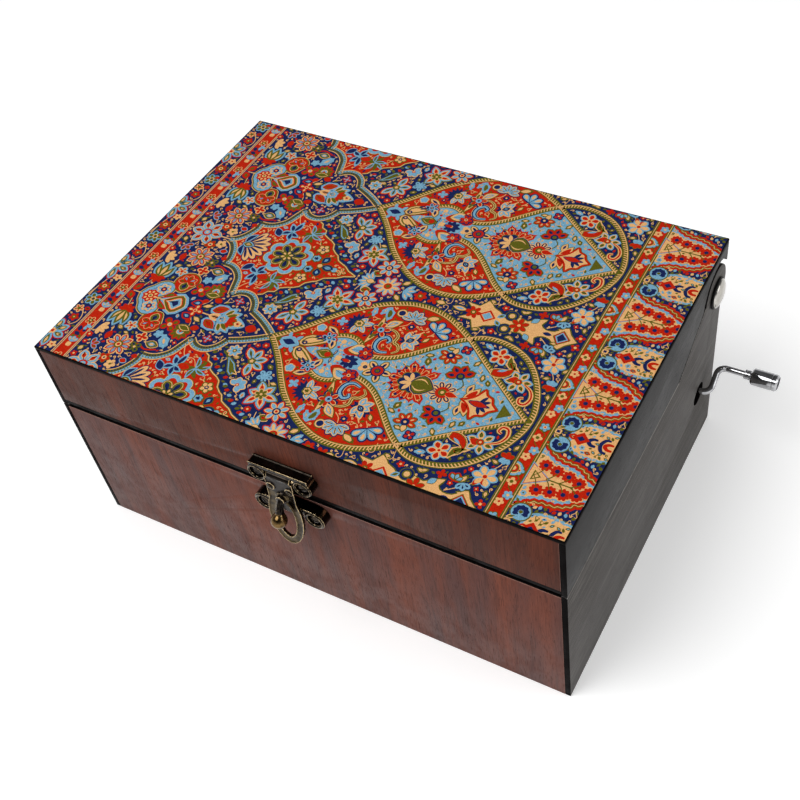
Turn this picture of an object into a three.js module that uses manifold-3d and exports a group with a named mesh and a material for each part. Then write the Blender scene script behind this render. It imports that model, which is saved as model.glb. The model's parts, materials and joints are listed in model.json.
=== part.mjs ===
// A wooden music box with a printed lid, a cast latch and a hand crank that turns a comb movement.
// Millimetres. +X is the crank side, -Y the latch side and +Z is up. The origin is the middle of the
// underside. Each sub-assembly is a group, and each mesh in it is one physical piece.

import * as THREE from 'three';
import { mergeVertices } from 'three/addons/utils/BufferGeometryUtils.js';
import Module from 'manifold-3d';

const wasm = await Module();
wasm.setup();

// Driving sizes of the case.
const caseSize = {
  width: 200,
  depth: 140,
  height: 92.5,
  lidHeight: 29.9,
  board: 3,
  print: 1.5,
  rebate: 1,
  backRecess: 3.2,
};

// The split between lid and body: a hair line at the sides and a wider one at the front.
const seam = { sideGap: 0.4, frontDrop: 0.8, frontRaise: 0.9 };

// The lid turns on a pin through a round ear of each side board.
const hinge = {
  rise: 12.9,
  earRadius: 10.5,
  notchGap: 2,
  flankInset: 45,
  flankGap: 0.8,
  flankMeetAngle: THREE.MathUtils.degToRad(172),
  railEndGap: 0.5,
  railRunningGap: 0.6,
  pinRadius: 2,
  pinGrip: 6,
  headRadius: 5.5,
  headHeight: 1.9,
  domeSteps: 6,
  washerRadius: 6.1,
  washerThickness: 0.6,
};

// Gaps that several pieces share.
const clearance = 0.3;
const cutOverrun = 1;

// The crank: a bent wire through the right side board, with a knob that spins on its end.
const crank = {
  inset: 20,
  height: 33.3,
  wireRadius: 1.25,
  holeRadius: 4.7,
  holeDrop: 2.1,
  armReach: 4.3,
  throw: 11,
  restAngle: THREE.MathUtils.degToRad(30),
  bendRadius: 3.1,
  ferruleRadius: 1.95,
  ferruleLength: 2.3,
  knobReach: 16.8,
  knobRadius: 3.3,
  knobLength: 10.2,
  knobChamfer: 0.6,
  headRadius: 2.1,
  headHeight: 0.8,
  headRecess: 1.6,
  sides: 12,
  steps: 60,
};

// The worm on the wire, and the gear that it drives.
const wormDrive = {
  module: 0.75,
  teeth: 20,
  wormPitchRadius: 3.05,
  backlash: 0.3,
  tipClearance: 0.2,
  wormTurns: 4,
  stepsPerTurn: 20,
  threadFootShare: 0.92,
  hubLength: 1.5,
  gearFace: 2.6,
  gearHubRadius: 3,
  gearHubLength: 1.6,
  pressureAngle: THREE.MathUtils.degToRad(20),
};

// The pinned cylinder and its comb.
const tune = {
  drumInset: 24,
  drumRadius: 6.5,
  tracks: 18,
  trackPitch: 1.3,
  endMargin: 0.9,
  gearGap: 1.2,
  arborRadius: 1.2,
  pinsPerTrack: 4,
  pinHeight: 0.8,
  pinWidth: 0.4,
  pinStations: 44,
  trackStride: 7,
  noteStride: 13,
  combGap: 1.1,
  combThickness: 0.9,
  combLength: 22,
  combBase: 8,
  toothGap: 0.4,
  shortSlot: 8.5,
  clampThickness: 1.2,
  clampWidth: 6,
  screwInset: 3.2,
};

// The cast bedplate that carries crank, cylinder and comb.
const bedplate = {
  thickness: 2.5,
  wormGap: 0.9,
  margin: 2,
  bearing: 3,
  postWidth: 9,
  postCrown: 3.6,
  postGap: 1.6,
  lugWidth: 6.4,
  lugCrown: 3.2,
  collarLength: 3,
  collarRadius: 2.7,
  clipRadius: 2.3,
  clipThickness: 0.7,
};

// Wooden pieces inside the body.
const inside = {
  partitionInset: 59,
  partitionHeight: 52,
  blockMargin: 2,
};

// Slotted machine screws of the movement, and round-headed wood screws of the latch.
const movementScrew = {
  headRadius: 2.1,
  headHeight: 1.3,
  shankRadius: 1,
  slotWidth: 0.5,
  slotDepth: 0.6,
  grip: 7,
};
const latchScrew = {
  headRadius: 2.2,
  headHeight: 1.3,
  shankRadius: 1,
  slotWidth: 0.55,
  slotDepth: 0.6,
};

// The latch: two cast plates, a hasp that swings on a pin, and a lever with a ball end on the hasp.
const latch = {
  offset: 0.4,
  plateDepth: 4,
  webDepth: 2,
  screwRecess: 1.6,
  recessGap: 0.4,
};
const lidPlate = {
  halfWidth: 11.4,
  top: 15,
  lintel: 1.4,
  lugDrop: 4.4,
  lugRadius: 3.7,
  lugSpread: 8.9,
  webBottom: 8,
  shadow: 0.4,
};
const bodyPlate = {
  topDrop: 16.8,
  rim: 1.6,
  lugDrop: 4.2,
  lugRadius: 4.1,
  lugSpread: 9.9,
  webBottom: 6.6,
  catchHalfWidth: 2.2,
  catchHeight: 4.6,
};
const hasp = {
  barrelRadius: 1.9,
  barrelHalfWidth: 4.6,
  barrelSideGap: 0.3,
  pinRadius: 0.8,
  pinBite: 1.3,
  axisDepth: 3,
  shoulderHalfWidth: 5.4,
  ringHalfWidth: 6.8,
  thickness: 1.4,
  bellyDrop: 17,
  tipDrop: 31,
  bellyStand: 1.2,
  bellyCurve: 1.5,
  tipStand: 2.9,
  sheetSteps: 12,
  eyeHalfWidth: 3.9,
  eyeTopDrop: 10.4,
  rimBelow: 3.2,
};
const ballLever = {
  pivotDrop: 8.4,
  pivotRadius: 1,
  bossRadius: 1.7,
  bossHeight: 1,
  length: 7.2,
  neckRadius: 0.9,
  ballRadius: 2.9,
  gap: 0.3,
};

// Places worked out from the sizes above.
const right = caseSize.width / 2;
const front = -caseSize.depth / 2;
const back = caseSize.depth / 2;
const innerX = right - caseSize.board;
const innerFront = front + caseSize.board;
const bodyBack = back - caseSize.backRecess;
const innerBack = bodyBack - caseSize.board;
const printBottom = caseSize.height - caseSize.print;
const boardBottom = printBottom - caseSize.board;
const bodyTop = caseSize.height - caseSize.lidHeight;
const lidBottom = bodyTop + seam.sideGap;
const pivotY = back - hinge.earRadius;
const pivotZ = bodyTop + hinge.rise;
const crankY = back - crank.inset;

const wormCircularPitch = Math.PI * wormDrive.module;
const gearPitchRadius = (wormDrive.module * wormDrive.teeth) / 2;
const gearTipRadius = gearPitchRadius + wormDrive.module;
const wormTipRadius = wormDrive.wormPitchRadius + wormDrive.module;
const wormRootRadius = wormDrive.wormPitchRadius - wormDrive.module - wormDrive.tipClearance;
const wormLength = wormDrive.wormTurns * wormCircularPitch;
const drumX = right - tune.drumInset;
const drumZ = crank.height + wormDrive.wormPitchRadius + gearPitchRadius;
const drumLength = (tune.tracks - 1) * tune.trackPitch + 2 * (tune.endMargin + tune.trackPitch / 2);
const drumBack = crankY - wormDrive.gearFace / 2 - tune.gearGap;
const drumFront = drumBack - drumLength;
const bedTop = crank.height - wormTipRadius - bedplate.wormGap;
const bedBottom = bedTop - bedplate.thickness;

// Looks of the pieces.
const finish = (color, roughness, metalness = 0) =>
  new THREE.MeshStandardMaterial({ color, roughness, metalness });
const finishes = {
  print: finish(0xb05a38, 0.5),
  walnut: finish(0x5e3227, 0.5),
  ebony: finish(0x3c3a3c, 0.4),
  rawBoard: finish(0x9a7650, 0.8),
  antique: finish(0x3a3028, 0.35, 0.9),
  chrome: finish(0xc8c8cc, 0.15, 1),
  steel: finish(0x9a9ca0, 0.3, 1),
  brass: finish(0xc09a4a, 0.3, 1),
  castZinc: finish(0xa8a8a4, 0.45, 0.9),
  blackWasher: finish(0x1c1a1a, 0.6),
};

// Closed geometry to a solid that can be cut and joined, and back again.
function solidOf(geometry) {
  const bare = geometry.clone();
  bare.deleteAttribute('normal');
  bare.deleteAttribute('uv');
  const merged = mergeVertices(bare);
  const mesh = new wasm.Mesh({
    numProp: 3,
    vertProperties: new Float32Array(merged.attributes.position.array),
    triVerts: new Uint32Array(merged.index.array),
  });
  return new wasm.Manifold(mesh);
}

function geometryOf(solid) {
  const mesh = solid.getMesh();
  const geometry = new THREE.BufferGeometry();
  geometry.setAttribute('position', new THREE.BufferAttribute(new Float32Array(mesh.vertProperties), 3));
  geometry.setIndex(new THREE.BufferAttribute(new Uint32Array(mesh.triVerts), 1));
  geometry.computeVertexNormals();
  return geometry;
}

const join = (...geometries) => geometries.map(solidOf).reduce((a, b) => a.add(b));
const cut = (solid, ...geometries) => geometries.map(solidOf).reduce((a, b) => a.subtract(b), solid);

// A block between two corners.
function block([x0, x1], [y0, y1], [z0, z1]) {
  const geometry = new THREE.BoxGeometry(x1 - x0, y1 - y0, z1 - z0);
  return geometry.translate((x0 + x1) / 2, (y0 + y1) / 2, (z0 + z1) / 2);
}

// An outline drawn in Y and Z, made solid from x0 to x1.
function alongX(shape, [x0, x1]) {
  const geometry = new THREE.ExtrudeGeometry(shape,
    { depth: x1 - x0, bevelEnabled: false, curveSegments: 14 });
  const turn = new THREE.Matrix4().makeBasis(
    new THREE.Vector3(0, 1, 0), new THREE.Vector3(0, 0, 1), new THREE.Vector3(1, 0, 0));
  return geometry.applyMatrix4(turn).translate(x0, 0, 0);
}

// An outline drawn in X and Z, made solid from the wall at y0 towards the front by depth.
function towardsFront(shape, y0, depth) {
  const geometry = new THREE.ExtrudeGeometry(shape, { depth, bevelEnabled: false, curveSegments: 10 });
  return geometry.rotateX(Math.PI / 2).translate(0, y0, 0);
}

// Round pieces, turned about an axis along X or Y. A profile holds pairs of place on the axis and radius.
function lathe(profile, segments) {
  const points = profile.map(([along, radius]) => new THREE.Vector2(radius, along));
  return new THREE.LatheGeometry(points, segments);
}
const turnedX = (profile, y, z, segments = 24) =>
  lathe(profile, segments).rotateZ(-Math.PI / 2).translate(0, y, z);
const turnedY = (profile, x, z, segments = 24) => lathe(profile, segments).translate(x, 0, z);
const turnedZ = (profile, x, y, segments = 24) =>
  lathe(profile, segments).rotateX(Math.PI / 2).translate(x, y, 0);

const rod = (from, to, radius) => [[from, 0], [from, radius], [to, radius], [to, 0]];
const tube = (from, to, inner, outer) =>
  [[from, inner], [from, outer], [to, outer], [to, inner], [from, inner]];

// Where a line from one point to another first meets a circle.
function lineOntoCircle(from, to, centre, radius) {
  const along = to.clone().sub(from).normalize();
  const out = from.clone().sub(centre);
  const b = out.dot(along);
  const reach = -b - Math.sqrt(b * b - out.lengthSq() + radius * radius);
  return from.clone().addScaledVector(along, reach);
}

function addPiece(group, name, shape, material) {
  const geometry = shape.isBufferGeometry ? shape : geometryOf(shape);
  const mesh = new THREE.Mesh(geometry, material);
  mesh.name = name;
  group.add(mesh);
  return mesh;
}

// The straight flank that climbs from the seam to the ear of a body side.
function flankLine() {
  const foot = new THREE.Vector2(back - hinge.flankInset, bodyTop);
  const centre = new THREE.Vector2(pivotY, pivotZ);
  const meet = centre.clone().add(
    new THREE.Vector2(Math.cos(hinge.flankMeetAngle), Math.sin(hinge.flankMeetAngle))
      .multiplyScalar(hinge.earRadius));
  return { foot, meet, centre };
}

function bodySideOutline() {
  const { foot, meet } = flankLine();
  const backAngle = -Math.acos((bodyBack - pivotY) / hinge.earRadius);
  const shape = new THREE.Shape();
  shape.moveTo(front, 0);
  shape.lineTo(bodyBack, 0);
  shape.lineTo(bodyBack, pivotZ + hinge.earRadius * Math.sin(backAngle));
  shape.absarc(pivotY, pivotZ, hinge.earRadius, backAngle, hinge.flankMeetAngle, false);
  shape.lineTo(meet.x, meet.y);
  shape.lineTo(foot.x, foot.y);
  shape.lineTo(front, bodyTop);
  return shape;
}

function lidSideOutline() {
  const { foot, meet, centre } = flankLine();
  const along = meet.clone().sub(foot).normalize();
  const away = new THREE.Vector2(-along.y, along.x);
  const notchRadius = hinge.earRadius + hinge.notchGap;
  const from = foot.clone().addScaledVector(away, hinge.flankGap);
  const to = meet.clone().addScaledVector(away, hinge.flankGap);
  const onNotch = lineOntoCircle(from, to, centre, notchRadius);
  const start = from.clone().addScaledVector(along, (lidBottom - from.y) / along.y);
  const meetAngle = Math.atan2(onNotch.y - pivotZ, onNotch.x - pivotY);
  const notchAngle = meetAngle < 0 ? meetAngle + 2 * Math.PI : meetAngle;
  const backAngle = Math.acos((back - pivotY) / notchRadius);
  const shape = new THREE.Shape();
  shape.moveTo(front, printBottom);
  shape.lineTo(front, lidBottom);
  shape.lineTo(start.x, start.y);
  shape.lineTo(onNotch.x, onNotch.y);
  shape.absarc(pivotY, pivotZ, notchRadius, notchAngle, backAngle, true);
  shape.lineTo(back, printBottom);
  return shape;
}

// A side board for the right (1) or left (-1) of the box, with a rebate for the front board.
function sideBoard(outline, side) {
  const faces = side > 0 ? [innerX, right] : [-right, -innerX];
  const rebateFaces = side > 0
    ? [innerX - cutOverrun, innerX + caseSize.rebate]
    : [-innerX - caseSize.rebate, -innerX + cutOverrun];
  const rebateCut = block(rebateFaces, [front - cutOverrun, innerFront],
    [-cutOverrun, caseSize.height]);
  return cut(solidOf(alongX(outline, faces)), rebateCut);
}

function screwHolesInFront(board, centres, radius) {
  const holes = centres.map(([x, z]) =>
    turnedY(rod(front - cutOverrun, innerFront + cutOverrun, radius), x, z, 12));
  return cut(board, ...holes);
}

// Screw places of the two latch plates, as X and Z.
const lidPlateTop = lidBottom + lidPlate.top;
const lidLugZ = lidPlateTop - lidPlate.lugDrop;
const bodyPlateTop = lidPlateTop - bodyPlate.topDrop;
const bodyLugZ = bodyPlateTop - bodyPlate.lugDrop;
const lidScrews = [-1, 1].map((side) => [latch.offset + side * lidPlate.lugSpread, lidLugZ]);
const bodyScrews = [-1, 1].map((side) => [latch.offset + side * bodyPlate.lugSpread, bodyLugZ]);
const latchHole = latchScrew.shankRadius + clearance;

function buildBody() {
  const group = new THREE.Group();
  const floor = caseSize.board;
  const frontTop = bodyTop - seam.frontDrop;
  const backTop = pivotZ - hinge.earRadius - hinge.railRunningGap;
  addPiece(group, 'body_floor',
    block([-innerX, innerX], [innerFront, innerBack], [0, floor]), finishes.rawBoard);

  const frontX = innerX + caseSize.rebate;
  const frontBoard = solidOf(block([-frontX, frontX], [front, innerFront], [0, frontTop]));
  addPiece(group, 'body_front_panel',
    screwHolesInFront(frontBoard, bodyScrews, latchHole), finishes.walnut);
  addPiece(group, 'body_back_panel',
    block([-innerX, innerX], [innerBack, bodyBack], [0, backTop]), finishes.walnut);

  const pinHole = (side) => {
    const ends = [side * (innerX - cutOverrun), side * (right + cutOverrun)].sort((a, b) => a - b);
    return turnedX(rod(...ends, hinge.pinRadius + clearance), pivotY, pivotZ);
  };
  const crankHole = turnedX(rod(innerX - cutOverrun, right + cutOverrun, crank.holeRadius),
    crankY, crank.height - crank.holeDrop, 32);
  const leftSide = cut(sideBoard(bodySideOutline(), -1), pinHole(-1));
  const rightSide = cut(sideBoard(bodySideOutline(), 1), pinHole(1), crankHole);
  addPiece(group, 'body_side_left', leftSide, finishes.ebony);
  addPiece(group, 'body_side_right', rightSide, finishes.ebony);

  const partitionRight = right - inside.partitionInset;
  addPiece(group, 'partition_board',
    block([partitionRight - caseSize.board, partitionRight], [innerFront, innerBack],
      [floor, floor + inside.partitionHeight]), finishes.rawBoard);
  return group;
}

function buildLid() {
  const group = new THREE.Group();
  addPiece(group, 'lid_print_panel',
    block([-right, right], [front, back], [printBottom, caseSize.height]), finishes.print);
  addPiece(group, 'lid_top_board',
    block([-innerX, innerX], [innerFront, back], [boardBottom, printBottom]), finishes.rawBoard);

  const frontX = innerX + caseSize.rebate;
  const frontBottom = lidBottom + seam.frontRaise;
  const frontBoard = solidOf(block([-frontX, frontX], [front, innerFront], [frontBottom, printBottom]));
  addPiece(group, 'lid_front_panel',
    screwHolesInFront(frontBoard, lidScrews, latchHole), finishes.walnut);
  addPiece(group, 'lid_side_left', sideBoard(lidSideOutline(), -1), finishes.ebony);
  addPiece(group, 'lid_side_right', sideBoard(lidSideOutline(), 1), finishes.ebony);

  // The rail's underside is round about the pivot, so that it rolls over the body's back board.
  const railEnd = innerX - hinge.railEndGap;
  const shape = new THREE.Shape();
  shape.moveTo(back, boardBottom);
  shape.lineTo(pivotY - hinge.earRadius, boardBottom);
  shape.absarc(pivotY, pivotZ, hinge.earRadius, Math.PI, 2 * Math.PI, false);
  const socketEnd = railEnd - hinge.pinGrip - clearance;
  const socket = (side) => {
    const ends = [side * socketEnd, side * (railEnd + cutOverrun)].sort((a, b) => a - b);
    return turnedX(rod(...ends, hinge.pinRadius + clearance), pivotY, pivotZ);
  };
  const rail = cut(solidOf(alongX(shape, [-railEnd, railEnd])), socket(-1), socket(1));
  addPiece(group, 'lid_back_rail', rail, finishes.walnut);

  // Each pin has a domed head outside the ear, over a washer, and a shank that ends in the rail.
  const washerStart = right + clearance;
  const headStart = washerStart + hinge.washerThickness;
  for (const [side, name] of [[-1, 'left'], [1, 'right']]) {
    const dome = Array.from({ length: hinge.domeSteps }, (_, i) => {
      const angle = ((i + 1) / hinge.domeSteps) * (Math.PI / 2);
      return [headStart + hinge.headHeight * Math.sin(angle), hinge.headRadius * Math.cos(angle)];
    });
    dome[dome.length - 1][1] = 0;
    const pinProfile = [
      [railEnd - hinge.pinGrip, 0], [railEnd - hinge.pinGrip, hinge.pinRadius],
      [headStart, hinge.pinRadius], [headStart, hinge.headRadius], ...dome,
    ];
    const washerProfile = tube(washerStart, headStart, hinge.pinRadius + clearance, hinge.washerRadius);
    const pin = addPiece(group, `pivot_pin_${name}`, turnedX(pinProfile, 0, 0, 32), finishes.chrome);
    const washer = addPiece(group, `pivot_washer_${name}`, turnedX(washerProfile, 0, 0, 32),
      finishes.blackWasher);
    for (const mesh of [pin, washer]) {
      mesh.position.set(0, pivotY, pivotZ);
      mesh.rotation.z = side > 0 ? 0 : Math.PI;
    }
  }
  return group;
}

// A screw head's flat crown and rounded shoulder, as shares of its radius and height.
const crownShare = 0.55;
const shoulderShare = 0.62;
const shoulderWidthShare = 0.86;

// A slotted screw along +Y: its head's underside is at 0, its head faces -Y and its shank ends at length.
function slottedScrew(size, length) {
  const profile = [
    [-size.headHeight, 0], [-size.headHeight, size.headRadius * crownShare],
    [-size.headHeight * shoulderShare, size.headRadius * shoulderWidthShare], [0, size.headRadius],
    [0, size.shankRadius], [length, size.shankRadius], [length, 0],
  ];
  const slot = block([-size.headRadius - cutOverrun, size.headRadius + cutOverrun],
    [-size.headHeight - cutOverrun, -size.headHeight + size.slotDepth],
    [-size.slotWidth / 2, size.slotWidth / 2]);
  return cut(solidOf(turnedY(profile, 0, 0, 16)), slot);
}

function circleShape(x, z, radius) {
  const shape = new THREE.Shape();
  shape.absarc(x, z, radius, 0, 2 * Math.PI, false);
  return shape;
}

// A cast plate: a thin web, a deep rim along its top, and a round lug with a recess for each screw.
function plateWithLugs({ web, rim, lugs, lugRadius }) {
  const solids = [
    towardsFront(rectangle(web), front, latch.webDepth),
    towardsFront(rectangle(rim), front, latch.plateDepth),
    ...lugs.map(([x, z]) => towardsFront(circleShape(x, z, lugRadius), front, latch.plateDepth)),
  ];
  const recessFloor = front - latch.plateDepth + latch.screwRecess;
  const recessRadius = latchScrew.headRadius + latch.recessGap;
  const cuts = lugs.flatMap(([x, z]) => [
    turnedY(rod(front - latch.plateDepth - cutOverrun, recessFloor, recessRadius), x, z, 20),
    turnedY(rod(front - latch.plateDepth, front + cutOverrun, latchHole), x, z, 12),
  ]);
  return cut(join(...solids), ...cuts);
}

function rectangle([[x0, x1], [z0, z1]]) {
  const shape = new THREE.Shape();
  shape.moveTo(x0, z0);
  shape.lineTo(x1, z0);
  shape.lineTo(x1, z1);
  shape.lineTo(x0, z1);
  return shape;
}

const haspAxisY = front - hasp.axisDepth;
const haspAxisZ = lidPlateTop - lidPlate.lintel - lidPlate.shadow - hasp.barrelRadius;
const haspFrontY = haspAxisY - hasp.barrelRadius;

// The hasp's stand off the wall at a drop below its axis: flat at the shoulder, and flared at the tip.
function haspStand(drop) {
  const belly = Math.min(drop / hasp.bellyDrop, 1);
  const flare = Math.max((drop - hasp.bellyDrop) / (hasp.tipDrop - hasp.bellyDrop), 0);
  return hasp.bellyStand * belly ** hasp.bellyCurve + (hasp.tipStand - hasp.bellyStand) * flare;
}

function haspSolid() {
  const drops = Array.from({ length: hasp.sheetSteps + 1 },
    (_, i) => (i / hasp.sheetSteps) * (hasp.tipDrop + cutOverrun));
  const frontLine = drops.map((drop) =>
    new THREE.Vector2(haspFrontY - haspStand(drop), haspAxisZ - drop));
  const backLine = frontLine.map((p) => new THREE.Vector2(p.x + hasp.thickness, p.y)).reverse();
  const width = hasp.ringHalfWidth + cutOverrun;
  const sheet = alongX(new THREE.Shape([...frontLine, ...backLine]),
    [latch.offset - width, latch.offset + width]);

  // The face outline: straight shoulders, then an oval with an oval eye in it.
  const ovalTop = haspAxisZ - hasp.eyeTopDrop / 2;
  const ovalBottom = haspAxisZ - hasp.tipDrop;
  const ovalZ = (ovalTop + ovalBottom) / 2;
  const face = new THREE.Shape();
  face.absellipse(latch.offset, ovalZ, hasp.ringHalfWidth, (ovalTop - ovalBottom) / 2,
    0, 2 * Math.PI, false);
  const eyeTop = haspAxisZ - hasp.eyeTopDrop;
  const eyeBottom = ovalBottom + hasp.rimBelow;
  const eye = new THREE.Shape();
  eye.absellipse(latch.offset, (eyeTop + eyeBottom) / 2, hasp.eyeHalfWidth, (eyeTop - eyeBottom) / 2,
    0, 2 * Math.PI, false);
  const reach = latch.plateDepth + hasp.tipStand + hasp.thickness + cutOverrun;
  const shoulder = rectangle([
    [latch.offset - hasp.shoulderHalfWidth, latch.offset + hasp.shoulderHalfWidth],
    [ovalZ + (ovalTop - ovalBottom) / 4, haspAxisZ]]);
  const outline = join(towardsFront(face, front, reach), towardsFront(shoulder, front, reach))
    .subtract(solidOf(towardsFront(eye, front + cutOverrun, reach + 2 * cutOverrun)));

  const barrelEnds = [latch.offset - hasp.barrelHalfWidth, latch.offset + hasp.barrelHalfWidth];
  const barrel = solidOf(turnedX(rod(...barrelEnds, hasp.barrelRadius), haspAxisY, haspAxisZ, 20));
  const upper = solidOf(block(barrelEnds, [haspFrontY, haspAxisY],
    [haspAxisZ - hasp.barrelRadius, haspAxisZ]));
  const pinBore = turnedX(
    rod(barrelEnds[0] - cutOverrun, barrelEnds[1] + cutOverrun, hasp.pinRadius + clearance),
    haspAxisY, haspAxisZ, 12);
  const leverBore = turnedY(
    rod(haspFrontY - hasp.tipStand - cutOverrun, front, ballLever.pivotRadius + ballLever.gap),
    latch.offset, haspAxisZ - ballLever.pivotDrop, 12);
  // Above the barrel's side the sheet stays inside the barrel's width, clear of the lugs.
  const lugClear = [-1, 1].map((side) => {
    const ends = [latch.offset + side * hasp.barrelHalfWidth,
      latch.offset + side * (hasp.ringHalfWidth + 2 * cutOverrun)].sort((a, b) => a - b);
    return block(ends, [front - latch.plateDepth - clearance, front],
      [haspAxisZ - hasp.tipDrop, haspAxisZ + cutOverrun]);
  });
  return cut(outline.intersect(solidOf(sheet)).add(barrel).add(upper), pinBore, leverBore, ...lugClear);
}

function buildLatch() {
  const group = new THREE.Group();
  const x0 = latch.offset;
  const lidRim = [[x0 - lidPlate.halfWidth, x0 + lidPlate.halfWidth],
    [lidPlateTop - lidPlate.lintel, lidPlateTop]];
  const lidWeb = [[x0 - lidPlate.lugSpread, x0 + lidPlate.lugSpread],
    [lidPlateTop - lidPlate.webBottom, lidPlateTop]];
  const lidCasting = plateWithLugs(
    { web: lidWeb, rim: lidRim, lugs: lidScrews, lugRadius: lidPlate.lugRadius });
  const barrelPocket = block(
    [x0 - hasp.barrelHalfWidth - hasp.barrelSideGap, x0 + hasp.barrelHalfWidth + hasp.barrelSideGap],
    [front - latch.plateDepth - cutOverrun, haspAxisY + hasp.barrelRadius + clearance],
    [haspAxisZ - lidPlate.webBottom, haspAxisZ + hasp.barrelRadius + lidPlate.shadow]);
  const pinEnd = hasp.barrelHalfWidth + hasp.barrelSideGap + hasp.pinBite;
  const pinHole = turnedX(
    rod(x0 - pinEnd - clearance, x0 + pinEnd + clearance, hasp.pinRadius + clearance),
    haspAxisY, haspAxisZ, 12);
  addPiece(group, 'latch_lid_plate', cut(lidCasting, barrelPocket, pinHole), finishes.antique);
  addPiece(group, 'latch_hinge_pin',
    turnedX(rod(x0 - pinEnd, x0 + pinEnd, hasp.pinRadius), haspAxisY, haspAxisZ, 12), finishes.antique);

  const bodyRim = [[x0 - bodyPlate.lugSpread, x0 + bodyPlate.lugSpread],
    [bodyPlateTop - bodyPlate.rim, bodyPlateTop]];
  const bodyWeb = [[x0 - bodyPlate.lugSpread, x0 + bodyPlate.lugSpread],
    [bodyPlateTop - bodyPlate.webBottom, bodyPlateTop]];
  const bodyCasting = plateWithLugs(
    { web: bodyWeb, rim: bodyRim, lugs: bodyScrews, lugRadius: bodyPlate.lugRadius });
  const catchBlock = towardsFront(rectangle([
    [x0 - bodyPlate.catchHalfWidth, x0 + bodyPlate.catchHalfWidth],
    [bodyPlateTop - bodyPlate.catchHeight, bodyPlateTop]]), front, latch.plateDepth);
  addPiece(group, 'latch_body_plate', bodyCasting.add(solidOf(catchBlock)), finishes.antique);

  addPiece(group, 'latch_hasp', haspSolid(), finishes.antique);

  // The lever's pin runs through the hasp, its boss sits on the front, and its ball hangs below.
  const leverZ = haspAxisZ - ballLever.pivotDrop;
  const haspFace = haspFrontY - haspStand(ballLever.pivotDrop);
  const ballDrop = ballLever.pivotDrop + ballLever.length + ballLever.ballRadius;
  const haspFaceAtBall = haspFrontY - haspStand(ballDrop);
  const bossBack = haspFace - ballLever.gap;
  const bossFront = bossBack - ballLever.bossHeight;
  const pinBack = haspFace + hasp.thickness - ballLever.gap;
  const ballY = haspFaceAtBall - ballLever.gap - ballLever.ballRadius;
  const pivotPin = turnedY([
    [bossFront, 0], [bossFront, ballLever.bossRadius], [bossBack, ballLever.bossRadius],
    [bossBack, ballLever.pivotRadius], [pinBack, ballLever.pivotRadius], [pinBack, 0],
  ], x0, leverZ, 16);
  const ball = new THREE.SphereGeometry(ballLever.ballRadius, 20, 12)
    .translate(x0, ballY, leverZ - ballLever.length);
  const neckStart = new THREE.Vector3(x0, (bossFront + bossBack) / 2, leverZ);
  const neckEnd = new THREE.Vector3(x0, ballY, leverZ - ballLever.length);
  const neckMiddle = new THREE.Vector3(x0, ballY, (neckStart.z + neckEnd.z) / 2);
  const neckPath = new THREE.QuadraticBezierCurve3(neckStart, neckMiddle, neckEnd);
  const neck = new THREE.ExtrudeGeometry(circleShape(0, 0, ballLever.neckRadius),
    { steps: 8, extrudePath: neckPath, curveSegments: 5 });
  addPiece(group, 'latch_ball_lever', join(pivotPin, ball, neck), finishes.antique);

  const headSeat = front - latch.plateDepth + latch.screwRecess - clearance;
  const screwShank = innerFront - headSeat;
  for (const [names, centres] of [
    [['latch_screw_lid_left', 'latch_screw_lid_right'], lidScrews],
    [['latch_screw_body_left', 'latch_screw_body_right'], bodyScrews]]) {
    names.forEach((name, i) => {
      const screw = addPiece(group, name, slottedScrew(latchScrew, screwShank), finishes.antique);
      screw.position.set(centres[i][0], headSeat, centres[i][1]);
    });
  }
  return group;
}

// The crank wire's centre line, in the plane of its arm: along the shaft, out on the arm, and on again.
class CrankPath extends THREE.Curve {
  constructor(start, armX, end, direction) {
    super();
    const r = crank.bendRadius;
    const quarter = (Math.PI / 2) * r;
    this.parts = [
      { length: armX - r - start, at: (s) => [start + s, 0] },
      { length: quarter, at: (s) => [armX - r + r * Math.sin(s / r), r - r * Math.cos(s / r)] },
      { length: crank.throw - 2 * r, at: (s) => [armX, r + s] },
      {
        length: quarter,
        at: (s) => [armX + r - r * Math.cos(s / r), crank.throw - r + r * Math.sin(s / r)],
      },
      { length: end - armX - r, at: (s) => [armX + r + s, crank.throw] },
    ];
    this.total = this.parts.reduce((sum, part) => sum + part.length, 0);
    this.direction = direction;
  }

  getPoint(t, target = new THREE.Vector3()) {
    let rest = t * this.total;
    let index = 0;
    while (index < this.parts.length - 1 && rest > this.parts[index].length) {
      rest -= this.parts[index].length;
      index += 1;
    }
    const [x, out] = this.parts[index].at(Math.min(rest, this.parts[index].length));
    return target.set(x, out * this.direction[0], out * this.direction[1]);
  }
}

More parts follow.
